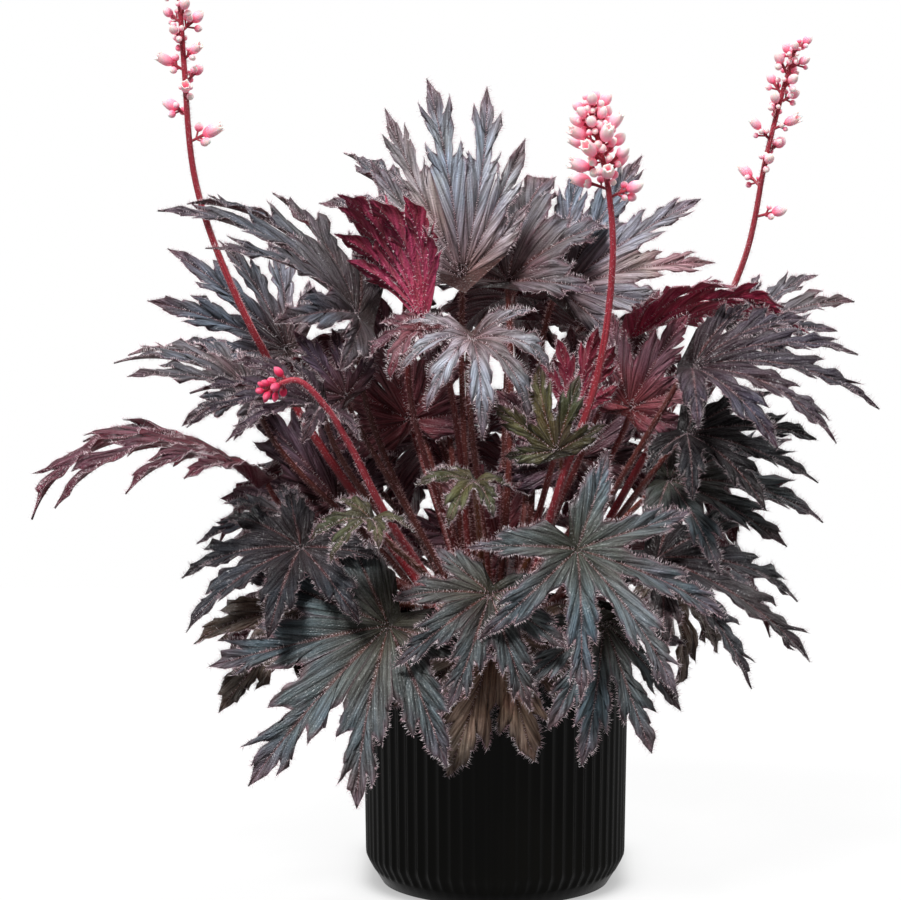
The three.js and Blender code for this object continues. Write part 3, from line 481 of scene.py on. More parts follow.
def blade_surface(leaf, x, y, lift):
    """Places flat blade points: (x, y) in blade sizes from the hub is turned into a ray and a distance,
    the ray is bent, and the point is lifted off it along the blade's normal by so many millimetres.
    Gives the points and the normals there."""
    axes = leaf["axes"]
    r, theta = np.hypot(x, y), np.arctan2(y, x)
    along, out, slope = bend(leaf, r, theta)
    ray = np.cos(theta)[..., None] * axes["T"] + np.sin(theta)[..., None] * axes["L"]
    normal = np.cos(slope)[..., None] * axes["N"] - np.sin(slope)[..., None] * ray
    place = leaf["hub"] + leaf["shift"] + axes["size"] * (along[..., None] * ray + out[..., None] * axes["N"])
    return place + normal * np.asarray(lift)[..., None], normal


def lobes_of(leaf):
    """The lobes all round a leaf, from one side of the stalk to the other, with their small differences:
    angle in radians, reach in blade sizes and teeth a side."""
    half, seed = FORMS[leaf["form"]]["lobes"], leaf["seed"]
    lobes = []
    for k, (at, reach, teeth) in enumerate([(-at, reach, teeth) for at, reach, teeth in half[:0:-1]] + half):
        uneven_reach = 1 if at == 0 else 1 + 0.07 * uneven(seed, k + 20)
        lobes.append({
            "at": np.radians(at * leaf["fan"] + 3 * uneven(seed, k)),
            "reach": reach ** leaf["taper"] * uneven_reach, "teeth": teeth, "place": k, "seed": seed + 7 * k,
        })
    return lobes


def settle(leaf, solid):
    """The solid leaf was moved by whole steps of 5 mm to stand clear of the others. The shift is the one
    that lays the points of all its lobes on corners of the solid."""
    lobes = lobes_of(leaf)
    at = np.array([lobe["at"] for lobe in lobes])
    reach = np.array([lobe["reach"] for lobe in lobes])
    half = np.full(len(lobes), BLADE["solid_thickness"] / 2)
    tips, _ = blade_surface(leaf, reach * np.cos(at), reach * np.sin(at), half)
    shifts = 5 * np.round((solid - tips[0]) / 5)
    shifts = np.unique(shifts[np.abs(solid - tips[0] - shifts).max(axis=1) < 0.05], axis=0)
    moved = tips + shifts[:, None]
    misses = np.linalg.norm(moved[:, :, None] - solid, axis=-1).min(axis=-1).max(axis=-1)
    return shifts[np.argmin(misses)]


def margin_line(corners, bows, steps):
    """The margin from corner to corner: straight lines in equal steps, each bowed outwards by a parabola
    as high in its middle as its bow times its length, with every other step a fine tooth."""
    start, end = corners[:-1, None], corners[1:, None]
    share = np.arange(1, steps + 1)[:, None] / steps
    outward = (end - start) @ np.array([[0, 1], [-1, 0]])
    bowed = bows[:, None, None] * 4 * share * (1 - share)
    teeth = 0.05 * (np.arange(steps) % 2 == 0)[:, None] * (share < 1) * (end[..., 1:] > 0)
    line = start + (end - start) * share + outward * (bowed + teeth)
    return np.vstack([corners[:1], line.reshape(-1, 2)])


def side_corners(leaf, lobe, notch):
    """The corners of one side of a lobe from its notch to its point, and the bows between them."""
    teeth = np.array(TEETH[lobe["teeth"]])
    teeth[:, 1] *= leaf["slim"]
    first = np.array(FIRST_STRETCH)
    on_line = notch + (teeth[0, :2] - notch) * first[:, :1] + np.array([0, 1]) * first[:, 1:2]
    return np.vstack([notch, on_line, teeth[:, :2]]), np.concatenate([first[:, 2], teeth[:, 2]])


def half_lobe(leaf, lobe, notch, draw):
    """Half a lobe as a grid: row by row from the hub to the point, column by column from the rib to the
    margin. Each row runs slantwise from a foot on the rib to a point of the margin; the rows below the
    notch end on the line from the hub to the notch, which the next lobe shares. Gives x and y in lobe
    lengths, and the share of the way across."""
    corners, bows = side_corners(leaf, lobe, notch)
    corners[1:-1] += 0.01 * draw.standard_normal((len(corners) - 2, 2)) * (1, 0.6 * leaf["slim"])
    margin = margin_line(corners, bows, BLADE["corner_steps"])
    half_turn = np.radians(FORMS[leaf["form"]]["lobes"][1][0] * leaf["fan"] / 2)
    even = side_corners(leaf, lobe, leaf["notch"] * np.array([np.cos(half_turn), np.sin(half_turn)]))
    even = margin_line(*even, BLADE["corner_steps"])
    feet = np.maximum.accumulate(even[:, 0] - BLADE["slant"] * even[:, 1])
    below = np.arange(BLADE["base_rows"]) / BLADE["base_rows"]
    feet = np.concatenate([feet[0] * below, feet])
    margin = np.vstack([below[:, None] * notch, margin])
    across = np.array(BLADE["columns"])
    x = feet[:, None] + (margin[:, :1] - feet[:, None]) * across
    y = margin[:, 1:] * across
    return x, y, np.broadcast_to(across, x.shape)


def lobe_height(leaf, lobe, x, y, across, side):
    """How far the blade is lifted, in millimetres: a channel that is lowest on the rib and steepest beside
    it, rippled along the free margin, puffed up between side veins, and curled and twisted to the point."""
    size, seed = leaf["axes"]["size"] * lobe["reach"], lobe["seed"]
    free = np.clip((x - 0.35) / 0.65, 0, 1)
    channel = BLADE["fold"] * size * y * (1.5 - 0.55 * across**2)
    wave = np.sin(2 * np.pi * (3.6 * x + uneven(seed, 3 + side))) + 0.6 * np.sin(2 * np.pi * 8.3 * x + side)
    ripple = 0.3 * size * y * free**0.5 * across * wave
    foot = size * (x - BLADE["vein_slant"] * y)
    puff = 0.6 * np.sin(np.pi * across) * np.abs(np.sin(np.pi * foot / BLADE["vein_gap"])) ** 0.7
    curl = size * (0.06 * uneven(seed, 9) - 0.03) * free**2
    twist = 0.35 * size * side * y * uneven(seed, 11) * free
    return channel + ripple + puff + curl + twist


def flat_place(lobe, x, y):
    """Turns a place in a lobe, whose point bends sideways a little, into one in the flat blade."""
    y = y + 0.045 * uneven(lobe["seed"], 13) * np.clip((x - 0.35) / 0.65, 0, 1) ** 2
    cos, sin = np.cos(lobe["at"]), np.sin(lobe["at"])
    return lobe["reach"] * (x * cos - y * sin), lobe["reach"] * (x * sin + y * cos)


def hair(roots, tips, width, tint):
    """Hairs as slender pyramids: three corners round each root, thirds of a turn apart across the line
    to the tip, and the tip itself."""
    along = unit(tips - roots)
    first = unit(np.cross(along, (0.31, 0.53, 0.79)))
    second = np.cross(along, first)
    turn = 2 * np.pi * np.arange(3)[:, None] / 3
    ring = roots[:, None] + width * (np.cos(turn) * first[:, None] + np.sin(turn) * second[:, None])
    points = np.concatenate([ring, tips[:, None]], axis=1)
    faces = np.array([[0, 2, 1], [0, 1, 3], [1, 2, 3], [2, 0, 3]])
    triangles = (faces + 4 * np.arange(len(roots))[:, None, None]).reshape(-1, 3)
    return {"points": points.reshape(-1, 3), "triangles": triangles, "material": 3, "tint": tint}


def run_of(line):
    """How far along a line of points each of them is."""
    return np.concatenate([[0], np.cumsum(np.linalg.norm(np.diff(line, axis=0), axis=1))])


def along_line(line, distances, *others):
    """Values at distances along a line of points, and those of others that go with its points."""
    run = run_of(line)
    return [np.stack([np.interp(distances, run, v[:, c]) for c in range(3)], axis=1) for v in (line, *others)]


def strewn(line, gap, slack, draw):
    """Distances along a line, one every gap, each moved on by a random share of it within the slack."""
    total = run_of(line)[-1]
    count = max(int(total / gap), 2)
    return (np.arange(count) + draw.uniform(*slack, count)) * total / count


def fringe(line, normals, outward, gap, length, draw):
    """Hairs along a line on the blade: one every gap or so, leaning outwards and up off the blade."""
    roots, up, out = along_line(line, strewn(line, gap, (0.1, 0.9), draw), normals, outward)
    count = len(roots)
    lean = out * draw.uniform(0.5, 1.1, (count, 1)) + up * draw.uniform(0.2, 0.9, (count, 1))
    lean = unit(lean + 0.25 * draw.standard_normal((count, 3)))
    return roots, roots + lean * length * draw.uniform(0.6, 1.25, (count, 1))


def paint_blade(leaf, x, across, away, lobe_light_and_tone, warm):
    """The blade's colours: from the hub's to the outer one, warmed by a share, lighter midway along each
    lobe and lightest midway across each half lobe, which is a painted highlight down each channel, the
    margin's at the point and the margin, and the stalk's along the rib. Each lobe's lightness brings in
    the leaf's painted light and shading."""
    hub, blade, _, edge, stalk = np.array(TINTS[leaf["tint"]])
    colour = (hub * (1 - away) + blade * away) * (1 + warm * (WARM - 1) * away)
    # Painted highlight: the colour is lightest midway across each half lobe, where the channel would catch
    # the light, and lighter midway along the lobe.
    highlight_and_tone = (0.6 + 0.8 * np.sin(np.pi * np.clip(x, 0, 1) ** 0.9)) * (0.76 + 0.5 * np.sin(np.pi * across))
    point = 0.6 * np.clip((x - 0.72) / 0.28, 0, 1)
    blush = np.maximum(point, 0.55 * away * np.clip(across - 0.8, 0, 1) / 0.2)
    colour = colour * highlight_and_tone * lobe_light_and_tone * (1 - blush) + edge * np.minimum(lobe_light_and_tone, 1.2) * blush
    rib = 0.6 * np.clip(1 - across / 0.14, 0, 1)
    return colour * (1 - rib) + stalk * rib


def half_lobe_faces(leaf, lobe, side, notch, light_and_tone, lobe_light_and_tone, warm, draw):
    """Half a lobe's two faces and the rim between them, with the hairs along its margin. The lower face
    is pushed down along the rib, where the vein stands out below."""
    x, y, across = half_lobe(leaf, lobe, notch, draw)
    length = lobe["reach"] * leaf["axes"]["size"]
    height = lobe_height(leaf, lobe, x, y, across, side)
    flat = flat_place(lobe, x, side * y)
    half = BLADE["thickness"] / 2 * (1 - 0.45 * across)
    vein = 0.95 * np.exp(-((y * length / 1.1) ** 2)) * (1 - 0.85 * np.clip(x, 0, 1)) * np.clip(x / 0.04, 0, 1)
    top, normal = blade_surface(leaf, *flat, height + half)
    bottom, _ = blade_surface(leaf, *flat, height - half - vein)
    uv = np.stack([(x - BLADE["vein_slant"] * y) * length / 10 + 3 * lobe["place"], across], axis=-1)
    away = np.clip(np.hypot(*flat) / 0.5, 0, 1)
    colour = paint_blade(leaf, x[..., None], across[..., None], away[..., None], lobe_light_and_tone, warm)
    # The lower face and the rim take the leaf's lightness too, painted light and shading included.
    below = np.array(TINTS[leaf["tint"]][2]) * light_and_tone
    free = slice(BLADE["base_rows"], None)
    line, up = top[free, -1], normal[free, -1]
    rim = np.stack([line, bottom[free, -1]], axis=1)
    outward = side * np.cross(up, unit(np.gradient(line, axis=0)))
    return [
        sheet(top, 0, uv, colour, flipped=side > 0), sheet(bottom, 1, uv, below, flipped=side < 0),
        sheet(rim, 0, (0, 1), RIM_TINT * light_and_tone, flipped=side > 0),
    ], fringe(line, up, outward, HAIRS["margin_gap"], HAIRS["length"], draw)


def rib_hairs(leaf, lobe, draw):
    """Hairs along both sides of a rib, above and, further apart, below."""
    x = np.linspace(0.02, 0.9, 24)
    blank = np.zeros_like(x)
    height = lobe_height(leaf, lobe, x, blank, blank, 1)
    for face, gap in ((1, HAIRS["rib_gap"]), (-1, 2.2 * HAIRS["rib_gap"])):
        lift = height + face * BLADE["thickness"] / 2 - (face < 0) * 0.9 * (1 - 0.85 * x)
        line, up = blade_surface(leaf, *flat_place(lobe, x, blank), lift)
        for lean in (-0.6, 0.6):
            outward = lean * np.cross(up, unit(np.gradient(line, axis=0)))
            yield fringe(line, face * up, outward, gap, 0.65 * HAIRS["length"], draw)


def stalk_patch(leaf, at, reach, neighbour, light_and_tone):
    """The small ruled patch beside the stalk: two faces and their outer edge, from the hub out to the
    blade's corner at a turn and a reach, as high there as the neighbouring lobe's channel."""
    # The patch takes the leaf's lightness, painted light and shading included.
    hub, _, below, _, _ = np.array(TINTS[leaf["tint"]]) * light_and_tone
    lift = 0.9 * BLADE["fold"] * leaf["axes"]["size"] * reach * abs(np.sin(at - neighbour["at"]))
    rows = BLADE["base_rows"] + 1
    out, turn = np.meshgrid(np.arange(rows) / (rows - 1), np.linspace(0, 1, 4), indexing="ij")
    x, y = out * reach * np.cos(at) - turn * (1 - out) * BLADE["heel"], out * reach * np.sin(at)
    half = BLADE["thickness"] / 2 * (1 - 0.45 * (out > 0))
    top, _ = blade_surface(leaf, x, y, out * lift + half)
    bottom, _ = blade_surface(leaf, x, y, out * lift - half)
    uv, edge = np.stack([3 * x, 3 * y], axis=-1), np.stack([top[:, -1], bottom[:, -1]], axis=1)
    return [
        sheet(top, 0, uv, 0.5 * hub, flipped=at > 0), sheet(bottom, 1, uv, below, flipped=at < 0),
        sheet(edge, 0, (0, 1), 0.5 * hub, flipped=at < 0),
    ]


def make_blade(leaf, draw):
    """The blade: two halves of each lobe, which meet the next lobe's at a notch, and a patch on each side
    of the stalk. Gives the surfaces, and the roots and tips of the hairs along margins and ribs."""
    lobes = lobes_of(leaf)
    base_at, base_reach = FORMS[leaf["form"]]["base"]
    base_at = np.radians(base_at * leaf["fan"])
    surfaces, hairs = [], []
    # The leaf's lightness, and each lobe's random share of it, is partly the leaf's own tone and partly
    # painted light and shading.
    light_and_tone = np.array(leaf["light_and_tone"]) * (1 + 0.1 * draw.standard_normal())
    for k, lobe in enumerate(lobes):
        lobe_light_and_tone = light_and_tone * (1 + 0.2 * np.clip(draw.standard_normal(), -1.5, 1.5))
        warm = np.clip(0.2 + 0.3 * draw.standard_normal(), 0, 1)
        for side in (-1, 1):
            reach, apart = base_reach, abs(side * base_at - lobe["at"])
            if 0 <= k + side < len(lobes):
                beside = lobes[k + side]
                reach = leaf["notch"] * (lobe["reach"] + beside["reach"]) / 2
                apart = abs(beside["at"] - lobe["at"]) / 2
            notch = np.array([np.cos(apart), np.sin(apart)]) * reach / lobe["reach"]
            faces, margin = half_lobe_faces(leaf, lobe, side, notch, light_and_tone, lobe_light_and_tone, warm, draw)
            surfaces += faces
            hairs.append(margin)
        hairs += rib_hairs(leaf, lobe, draw)
    surfaces += stalk_patch(leaf, -base_at, base_reach, lobes[0], light_and_tone)
    surfaces += stalk_patch(leaf, base_at, base_reach, lobes[-1], light_and_tone)
    return surfaces, [np.vstack(ends) for ends in zip(*hairs)]


def sweep(line, radii, sides, material, tint, ridge=0.0):
    """A round bar along a line of points, closed at both ends. Its section stands square to the line,
    turned so that one corner keeps to the side that the whole line's bow doesn't reach. The radius can
    swell and shrink round it by a share, as on a ridged stalk."""
    along = unit(np.gradient(line, axis=0))
    plane = np.cross(line[-1] - line[0], (0.05, 0.02, 1))
    first = unit(plane - (along @ plane)[:, None] * along)
    second = np.cross(along, first)
    turn = 2 * np.pi * np.arange(sides) / sides
    ring = np.cos(turn)[:, None] * first[:, None] + np.sin(turn)[:, None] * second[:, None]
    reach = np.asarray(radii)[:, None] * (1 + ridge * np.cos(3 * turn))
    ends = [0, *range(len(line)), -1]
    points = (line[:, None] + ring * reach[..., None])[ends]
    points[0], points[-1] = line[0], line[-1]
    uv = np.stack(np.broadcast_arrays(run_of(line)[ends, None] / 10, turn / (2 * np.pi)), axis=-1)
    if np.ndim(tint) == 2:
        tint = np.repeat(tint[ends], sides, axis=0)
    return sheet(points, material, uv, tint, closed=True)


def bristles(line, radii, gap, length, draw):
    """Hairs standing out all round a stalk, one every gap along it, each at a random turn."""
    along = unit(np.gradient(line, axis=0))
    first = unit(np.cross(along, (0.4, 0.9, 0.15)))
    thick = np.repeat(np.asarray(radii)[:, None], 3, axis=1)
    distances = strewn(line, gap, (0, 1), draw)
    middle, first, second, thick = along_line(line, distances, first, np.cross(along, first), thick)
    turn = draw.uniform(0, 2 * np.pi, (len(middle), 1))
    out = np.cos(turn) * first + np.sin(turn) * second
    roots = middle + 0.93 * out * thick
    lean = unit(out + 0.3 * draw.standard_normal(out.shape))
    return roots, roots + lean * length * draw.uniform(0.5, 1.2, (len(out), 1))


def stalk_line(leaf, foot):
    """The leaf stalk's middle line: straight up out of the compost, then a cubic curve that leaves
    upwards and outwards and meets the blade from below, just behind the hub."""
    axes = leaf["axes"]
    heel = np.array([-0.5 * BLADE["heel"]])
    end = blade_surface(leaf, heel, np.zeros(1), np.zeros(1))[0][0]
    low, start = np.array([*foot, STALK["low"]]), np.array([*foot, STALK["start"]])
    below = end - STALK["square"] * axes["N"]
    span = np.linalg.norm(start - below)
    up = unit(np.array([0, 0, 1]) + 0.3 * unit([end[0], end[1], 0]))
    arrive = unit(0.5 * axes["T"] + 0.85 * axes["N"])
    handles = start + 0.32 * span * up, below - 0.3 * span * arrive
    t = np.linspace(0, 1, STALK["steps"])[:, None]
    curve = (1 - t) ** 3 * start + 3 * (1 - t) ** 2 * t * handles[0]
    curve += 3 * (1 - t) * t**2 * handles[1] + t**3 * below
    return np.vstack([low, curve, end])


def solid_of(name):
    """The corners of a solid in millimetres, and the middle of its stalk's foot."""
    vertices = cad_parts[name].data.vertices
    points = np.zeros(len(vertices) * 3)
    vertices.foreach_get("co", points)
    points = np.unique(np.round(points.reshape(-1, 3) / METRES_PER_MM, 3), axis=0)
    return points, points[np.abs(points[:, 2] - STALK["low"]) < 0.05, :2].mean(axis=0)


def make_leaf(leaf):
    """One leaf: its blade, its stalk and their hairs, where the solid stands."""
    name = "leaf_" + leaf["name"]
    solid, foot = solid_of(name)
    leaf["shift"] = np.zeros(3)
    leaf["axes"] = blade_axes(leaf)
    leaf["shift"] = settle(leaf, solid)
    draw = np.random.default_rng(leaf["seed"])
    surfaces, (roots, tips) = make_blade(leaf, draw)
    line = stalk_line(leaf, foot)
    share = np.linspace(0, 1, len(line))
    radii = STALK["foot_radius"] + (STALK["hub_radius"] - STALK["foot_radius"]) * share
    radii[-1] *= 0.5
    skin = np.array(TINTS[leaf["tint"]][-1]) * (1 + 0.2 * draw.standard_normal())
    # Hairs are dimmed with the leaf's lightness: painted shading on the hairs of leaves that lie in shadow.
    hair_light_and_tone = np.clip(np.mean(leaf["light_and_tone"]) ** 0.35, 0.6, 1.05)
    surfaces.append(sweep(line, radii, STALK["sides"], 2, (0.7 + 0.6 * share)[:, None] * skin, ridge=0.06))
    surfaces.append(hair(roots, tips, HAIRS["width"], hair_light_and_tone * np.array(HAIRS["blade_tint"])))
    roots, tips = bristles(line[2:], radii[2:], HAIRS["stalk_gap"], 0.85 * HAIRS["length"], draw)
    surfaces.append(hair(roots, tips, HAIRS["width"], hair_light_and_tone * np.array(HAIRS["stalk_tint"])))
    make_piece(name + "_hairy", surfaces, LEAF_FINISHES, [name])


def mix(material, factor, first, second, blend="MIX"):
    """One colour mixed into another."""
    made = add_node(material, "Mix", data_type="RGBA", blend_type=blend)
    for socket, value in ((0, factor), (6, first), (7, second)):
        if isinstance(value, bpy.types.NodeSocket):
            material.node_tree.links.new(value, made.inputs[socket])
        else:
            made.inputs[socket].default_value = value if np.isscalar(value) else (*value, 1)
    return made.outputs[2]


def maths(material, operation, *values):
    """The outcome of an operation on numbers or sockets."""
    return add_node(material, "Math", dict(enumerate(values)), operation=operation).outputs[0]


def tinted(material, colour):
    """A colour multiplied by the piece's own tint."""
    tint = add_node(material, "Attribute", attribute_name="tint").outputs["Color"]
    return mix(material, 1.0, tint, colour, "MULTIPLY")


def uv_place(material, along=1.0, across=1.0):
    """Where a spot is on its piece's UV map, multiplied by a factor each way."""
    uv = add_node(material, "UVMap", uv_map="UVMap").outputs["UV"]
    return add_node(material, "Mapping", {"Vector": uv, "Scale": (along, across, 1.0)}).outputs["Vector"]


def vein_place(material, spacing):
    """How far a spot is from the nearest side vein: 0 on it and 1 midway to the next. Side veins are
    lines of constant foot along the rib, one each spacing in centimetres, and waver a little."""
    uv = uv_place(material)
    place = add_node(material, "SeparateXYZ", {"Vector": uv}).outputs["X"]
    swayed = maths(material, "MULTIPLY_ADD", noise(material, 0.9, 2, uv), 1.1, place)
    return maths(material, "PINGPONG", maths(material, "MULTIPLY", swayed, 2 / spacing), 1.0)


def leaf_finish(name, vein_colour, vein_share, silver, frost, frost_share, gloss):
    """A blade's finish: the leaf's own tint, which drifts to blue, olive and plum in patches, silvery
    midway between the side veins and dark along them and the fine ones between, and frosted by very fine
    down. It is matt in the dark patches and satiny in the light ones. Veins are sunk, and a network of
    small cells stands between them."""
    material, shader = new_material(name, Sheen_Weight=0.06, Sheen_Roughness=0.4)
    drift = ramp(material, noise(material, 24, 3), [
        (0.34, (0.9, 1.04, 1.05)), (0.48, 1), (0.6, (1.05, 1.0, 0.9)), (0.72, (1.22, 0.86, 0.88)),
    ])
    patches = noise(material, 1.9, 6, uv_place(material, 1.1))
    mottle = ramp(material, patches, [
        (0.34, (0.48, 0.43, 0.42)), (0.47, (0.88, 0.87, 0.87)), (0.56, 1.12), (0.7, (1.6, 1.63, 1.64)),
    ])
    main, fine = (vein_place(material, BLADE[gap] / 10) for gap in ("vein_gap", "fine_vein_gap"))
    panel = ramp(material, main, [(0.1, tuple(1 / np.array(silver))), (0.45, 1), (0.95, silver)])
    colour = tinted(material, drift)
    for layer in (mottle, panel):
        colour = mix(material, 1.0, colour, layer, "MULTIPLY")
    main = ramp(material, main, [(0, 1), (0.17, 0.5), (0.34, 0)])
    veins = maths(material, "MAXIMUM", main, ramp(material, fine, [(0, 0.3), (0.4, 0.14), (0.8, 0)]))
    colour = mix(material, maths(material, "MULTIPLY", veins, vein_share), colour, vein_colour)
    down = ramp(material, noise(material, 1500, 2), [(0.55, 0), (0.75, frost_share)])
    cell = {"Vector": object_place(material), "Scale": 620.0}
    cell = add_node(material, "TexVoronoi", cell, feature="DISTANCE_TO_EDGE").outputs["Distance"]
    cell = ramp(material, cell, [(0, 0), (0.25, 1)])
    satin = ramp(material, patches, [(0.4, 0.04), (0.62, gloss)])
    material.node_tree.links.new(satin, shader.inputs["Specular IOR Level"])
    finish_with(
        material, shader, colour=mix(material, down, colour, frost),
        roughness=ramp(material, noise(material, 130, 4), [(0.3, 0.28), (0.7, 0.42)]),
        height=mix(material, 0.65, cell, ramp(material, veins, [(0, 1), (1, 0)])), depth=0.0006,
    )
    return material


leaf_above = leaf_finish(
    "leaf_above", vein_colour=(0.016, 0.011, 0.015), vein_share=0.5, silver=(1.12, 1.14, 1.17),
    frost=(0.5, 0.47, 0.5), frost_share=0.12, gloss=0.5,
)
leaf_below = leaf_finish(
    "leaf_below", vein_colour=(0.36, 0.1, 0.12), vein_share=0.45, silver=(1.15, 1.2, 1.25),
    frost=(0.6, 0.35, 0.4), frost_share=0.1, gloss=0.45,
)

stalk_skin, shader = new_material("stalk_skin", Specular_IOR_Level=0.45)
streaks = noise(stalk_skin, 1.0, 3, uv_place(stalk_skin, 0.25, 22.0))
streaked = ramp(stalk_skin, streaks, [(0.3, (0.55, 0.5, 0.5)), (0.5, 1), (0.72, (1.6, 1.9, 1.7))])
finish_with(
    stalk_skin, shader, colour=tinted(stalk_skin, streaked),
    roughness=ramp(stalk_skin, streaks, [(0.3, 0.35), (0.7, 0.5)]), height=streaks, depth=0.0003,
)

hair_down, shader = new_material("hair_down", Specular_IOR_Level=0.5, Roughness=0.45)
bleached = ramp(hair_down, noise(hair_down, 160, 3), [(0.35, (0.8, 0.55, 0.6)), (0.65, 1.3)])
finish_with(hair_down, shader, colour=tinted(hair_down, bleached))
LEAF_FINISHES = [leaf_above, leaf_below, stalk_skin, hair_down]

for seed, row in enumerate(LEAVES + back_leaves(), start=1):
    leaf = {"taper": 1, "seed": seed, **dict(zip(LEAF_KEYS, row))}
    for key in ("hub", "tip", "face"):
        leaf[key] = np.array(leaf[key], dtype=float)
    make_leaf(leaf)

# ---------------------------------------------------------------- flower stalks
# Four bristly crimson stems rise through the leaves. Each carries a spike of short branches with small
# pink bells, open at the lower ones and in round buds above; one young stem still nods, tight in bud.

FLOWER_STALKS = [
    {
        "name": "flower_stalk_1", "radius": 2.7,
        "line": [(-112, 14, 268), (-151, 20, 341), (-171, 22, 400), (-177, 22, 468), (-180, 20, 527)],
        "count": 20, "from": 0.7, "crowding": 0.48, "arm": 7, "size": 1.15,
    },
    {
        "name": "flower_stalk_2", "radius": 2.7,
        "line": [(36, -74, 241), (55, -88, 300), (63, -92, 366), (60, -92, 405), (51, -92, 444)],
        "count": 25, "from": 0.84, "crowding": 0.62, "arm": 9, "size": 1.3,
    },
    {
        "name": "flower_stalk_3", "radius": 2.5,
        "line": [(112, 34, 290), (143, 42, 355), (154, 42, 410), (161, 42, 440), (170, 40, 474)],
        "count": 17, "from": 0.64, "crowding": 0.4, "arm": 8, "size": 1.15,
    },
    {
        "name": "flower_stalk_4", "radius": 2.9,
        "line": [(-60, -76, 222), (-79, -90, 262), (-93, -98, 286), (-108, -102, 300), (-124, -102, 294)],
        "count": 12, "from": 0.93, "crowding": 0.6, "arm": 1.5, "size": 0.7,
    },
]
BLOOM = [(0.9, 0.08, 0.2), (1.0, 0.45, 0.57), (1.0, 0.91, 0.84)]
BUD = [(0.45, 0.012, 0.05), (0.7, 0.035, 0.12), (0.86, 0.16, 0.28)]
STEM = {
    "sides": 14, "ridge": 0.04, "crimson": (0.26, 0.02, 0.028), "rose": (0.4, 0.035, 0.06),
    "bristle_gap": 0.2, "bristle_length": 2.0, "bristle_width": 0.12, "bristle_tint": (0.85, 0.62, 0.66),
}
FLORET = {
    "length": 11, "radius": 4, "rooted": 2.2, "turn": 137.5, "mouth": 0.62, "around": 15, "open_below": 0.72,
    "tries": 24, "turn_a_try": 37, "reach_a_try": 0.4, "buds": 3, "bud_length": 7.5, "bud_radius": 3.4,
}


def spaced_curve(line, count):
    """A smooth curve through the points, at even distances: between two points a cubic whose end
    directions come from the neighbours, weighted by the square root of their distances."""
    points = np.array(line, dtype=float)
    points = np.vstack([2 * points[0] - points[1], points, 2 * points[-1] - points[-2]])
    steps = np.sqrt(np.linalg.norm(np.diff(points, axis=0), axis=1))[:, None]
    slopes = np.diff(points, axis=0) / steps
    tangents = slopes[:-1] - (points[2:] - points[:-2]) / (steps[1:] + steps[:-1]) + slopes[1:]
    spans = len(points) - 3

    def curve(place):
        k = np.minimum(place.astype(int), spans - 1)
        t = (place - k)[:, None]
        p, q = points[k + 1], points[k + 2]
        m, n = tangents[k] * steps[k + 1], tangents[k + 1] * steps[k + 1]
        return p + m * t + (-3 * p + 3 * q - 2 * m - n) * t**2 + (2 * p - 2 * q + m + n) * t**3

    place = np.linspace(0, spans, 201)
    run = run_of(curve(place))
    return curve(np.interp(np.linspace(0, run[-1], count), run, place))


def flower_axes(lean):
    """Two directions across a floret's axis: level, and the one at right angles."""
    across = unit(np.cross((0, 0, 1), lean))
    return across, np.cross(lean, across)


def floret_place(spec, i, seed, points, solid):
    """Where a floret starts on the stem, how it leans, how long its arm is and its size. Some were turned
    on round the stem to stand clear: the turn is the one that lays the mouth's corners on the solid."""
    share = ((i + 0.5) / spec["count"]) ** spec["crowding"]
    reach = FLORET["rooted"] + 0.2 + spec["arm"] * (1 - 0.45 * share) * (1 + 0.25 * uneven(seed, i + 50))
    bell = spec["size"] * (1 - 0.3 * share + 0.1 * uneven(seed, i))
    steps = (spec["from"] + (1 - spec["from"]) * share) * (len(points) - 1)
    k = min(int(steps), len(points) - 2)
    tangent = unit(points[k + 1] - points[k])
    start = points[k] + (points[k + 1] - points[k]) * (steps - k)
    side = unit(np.cross((0, 1, 0), tangent))
    tries = np.arange(FLORET["tries"])
    turn = np.radians(FLORET["turn"] * i + FLORET["turn_a_try"] * tries)[:, None]
    outward = np.cos(turn) * side + np.sin(turn) * np.cross(tangent, side)
    lean = unit(outward + (0.25 + 0.8 * share) * tangent)
    arm = reach + FLORET["reach_a_try"] * tries
    across, other = flower_axes(lean)
    mouth = start + lean * (arm + FLORET["length"] * bell)[:, None]
    width = FLORET["mouth"] * FLORET["radius"] * bell
    corners = mouth[:, None] + width * np.stack([across, other, -across, -other], axis=1)
    misses = np.linalg.norm(corners[:, :, None] - solid, axis=-1).min(axis=-1).mean(axis=-1)
    best = int(np.argmin(misses))
    return start, lean[best], arm[best], bell, share


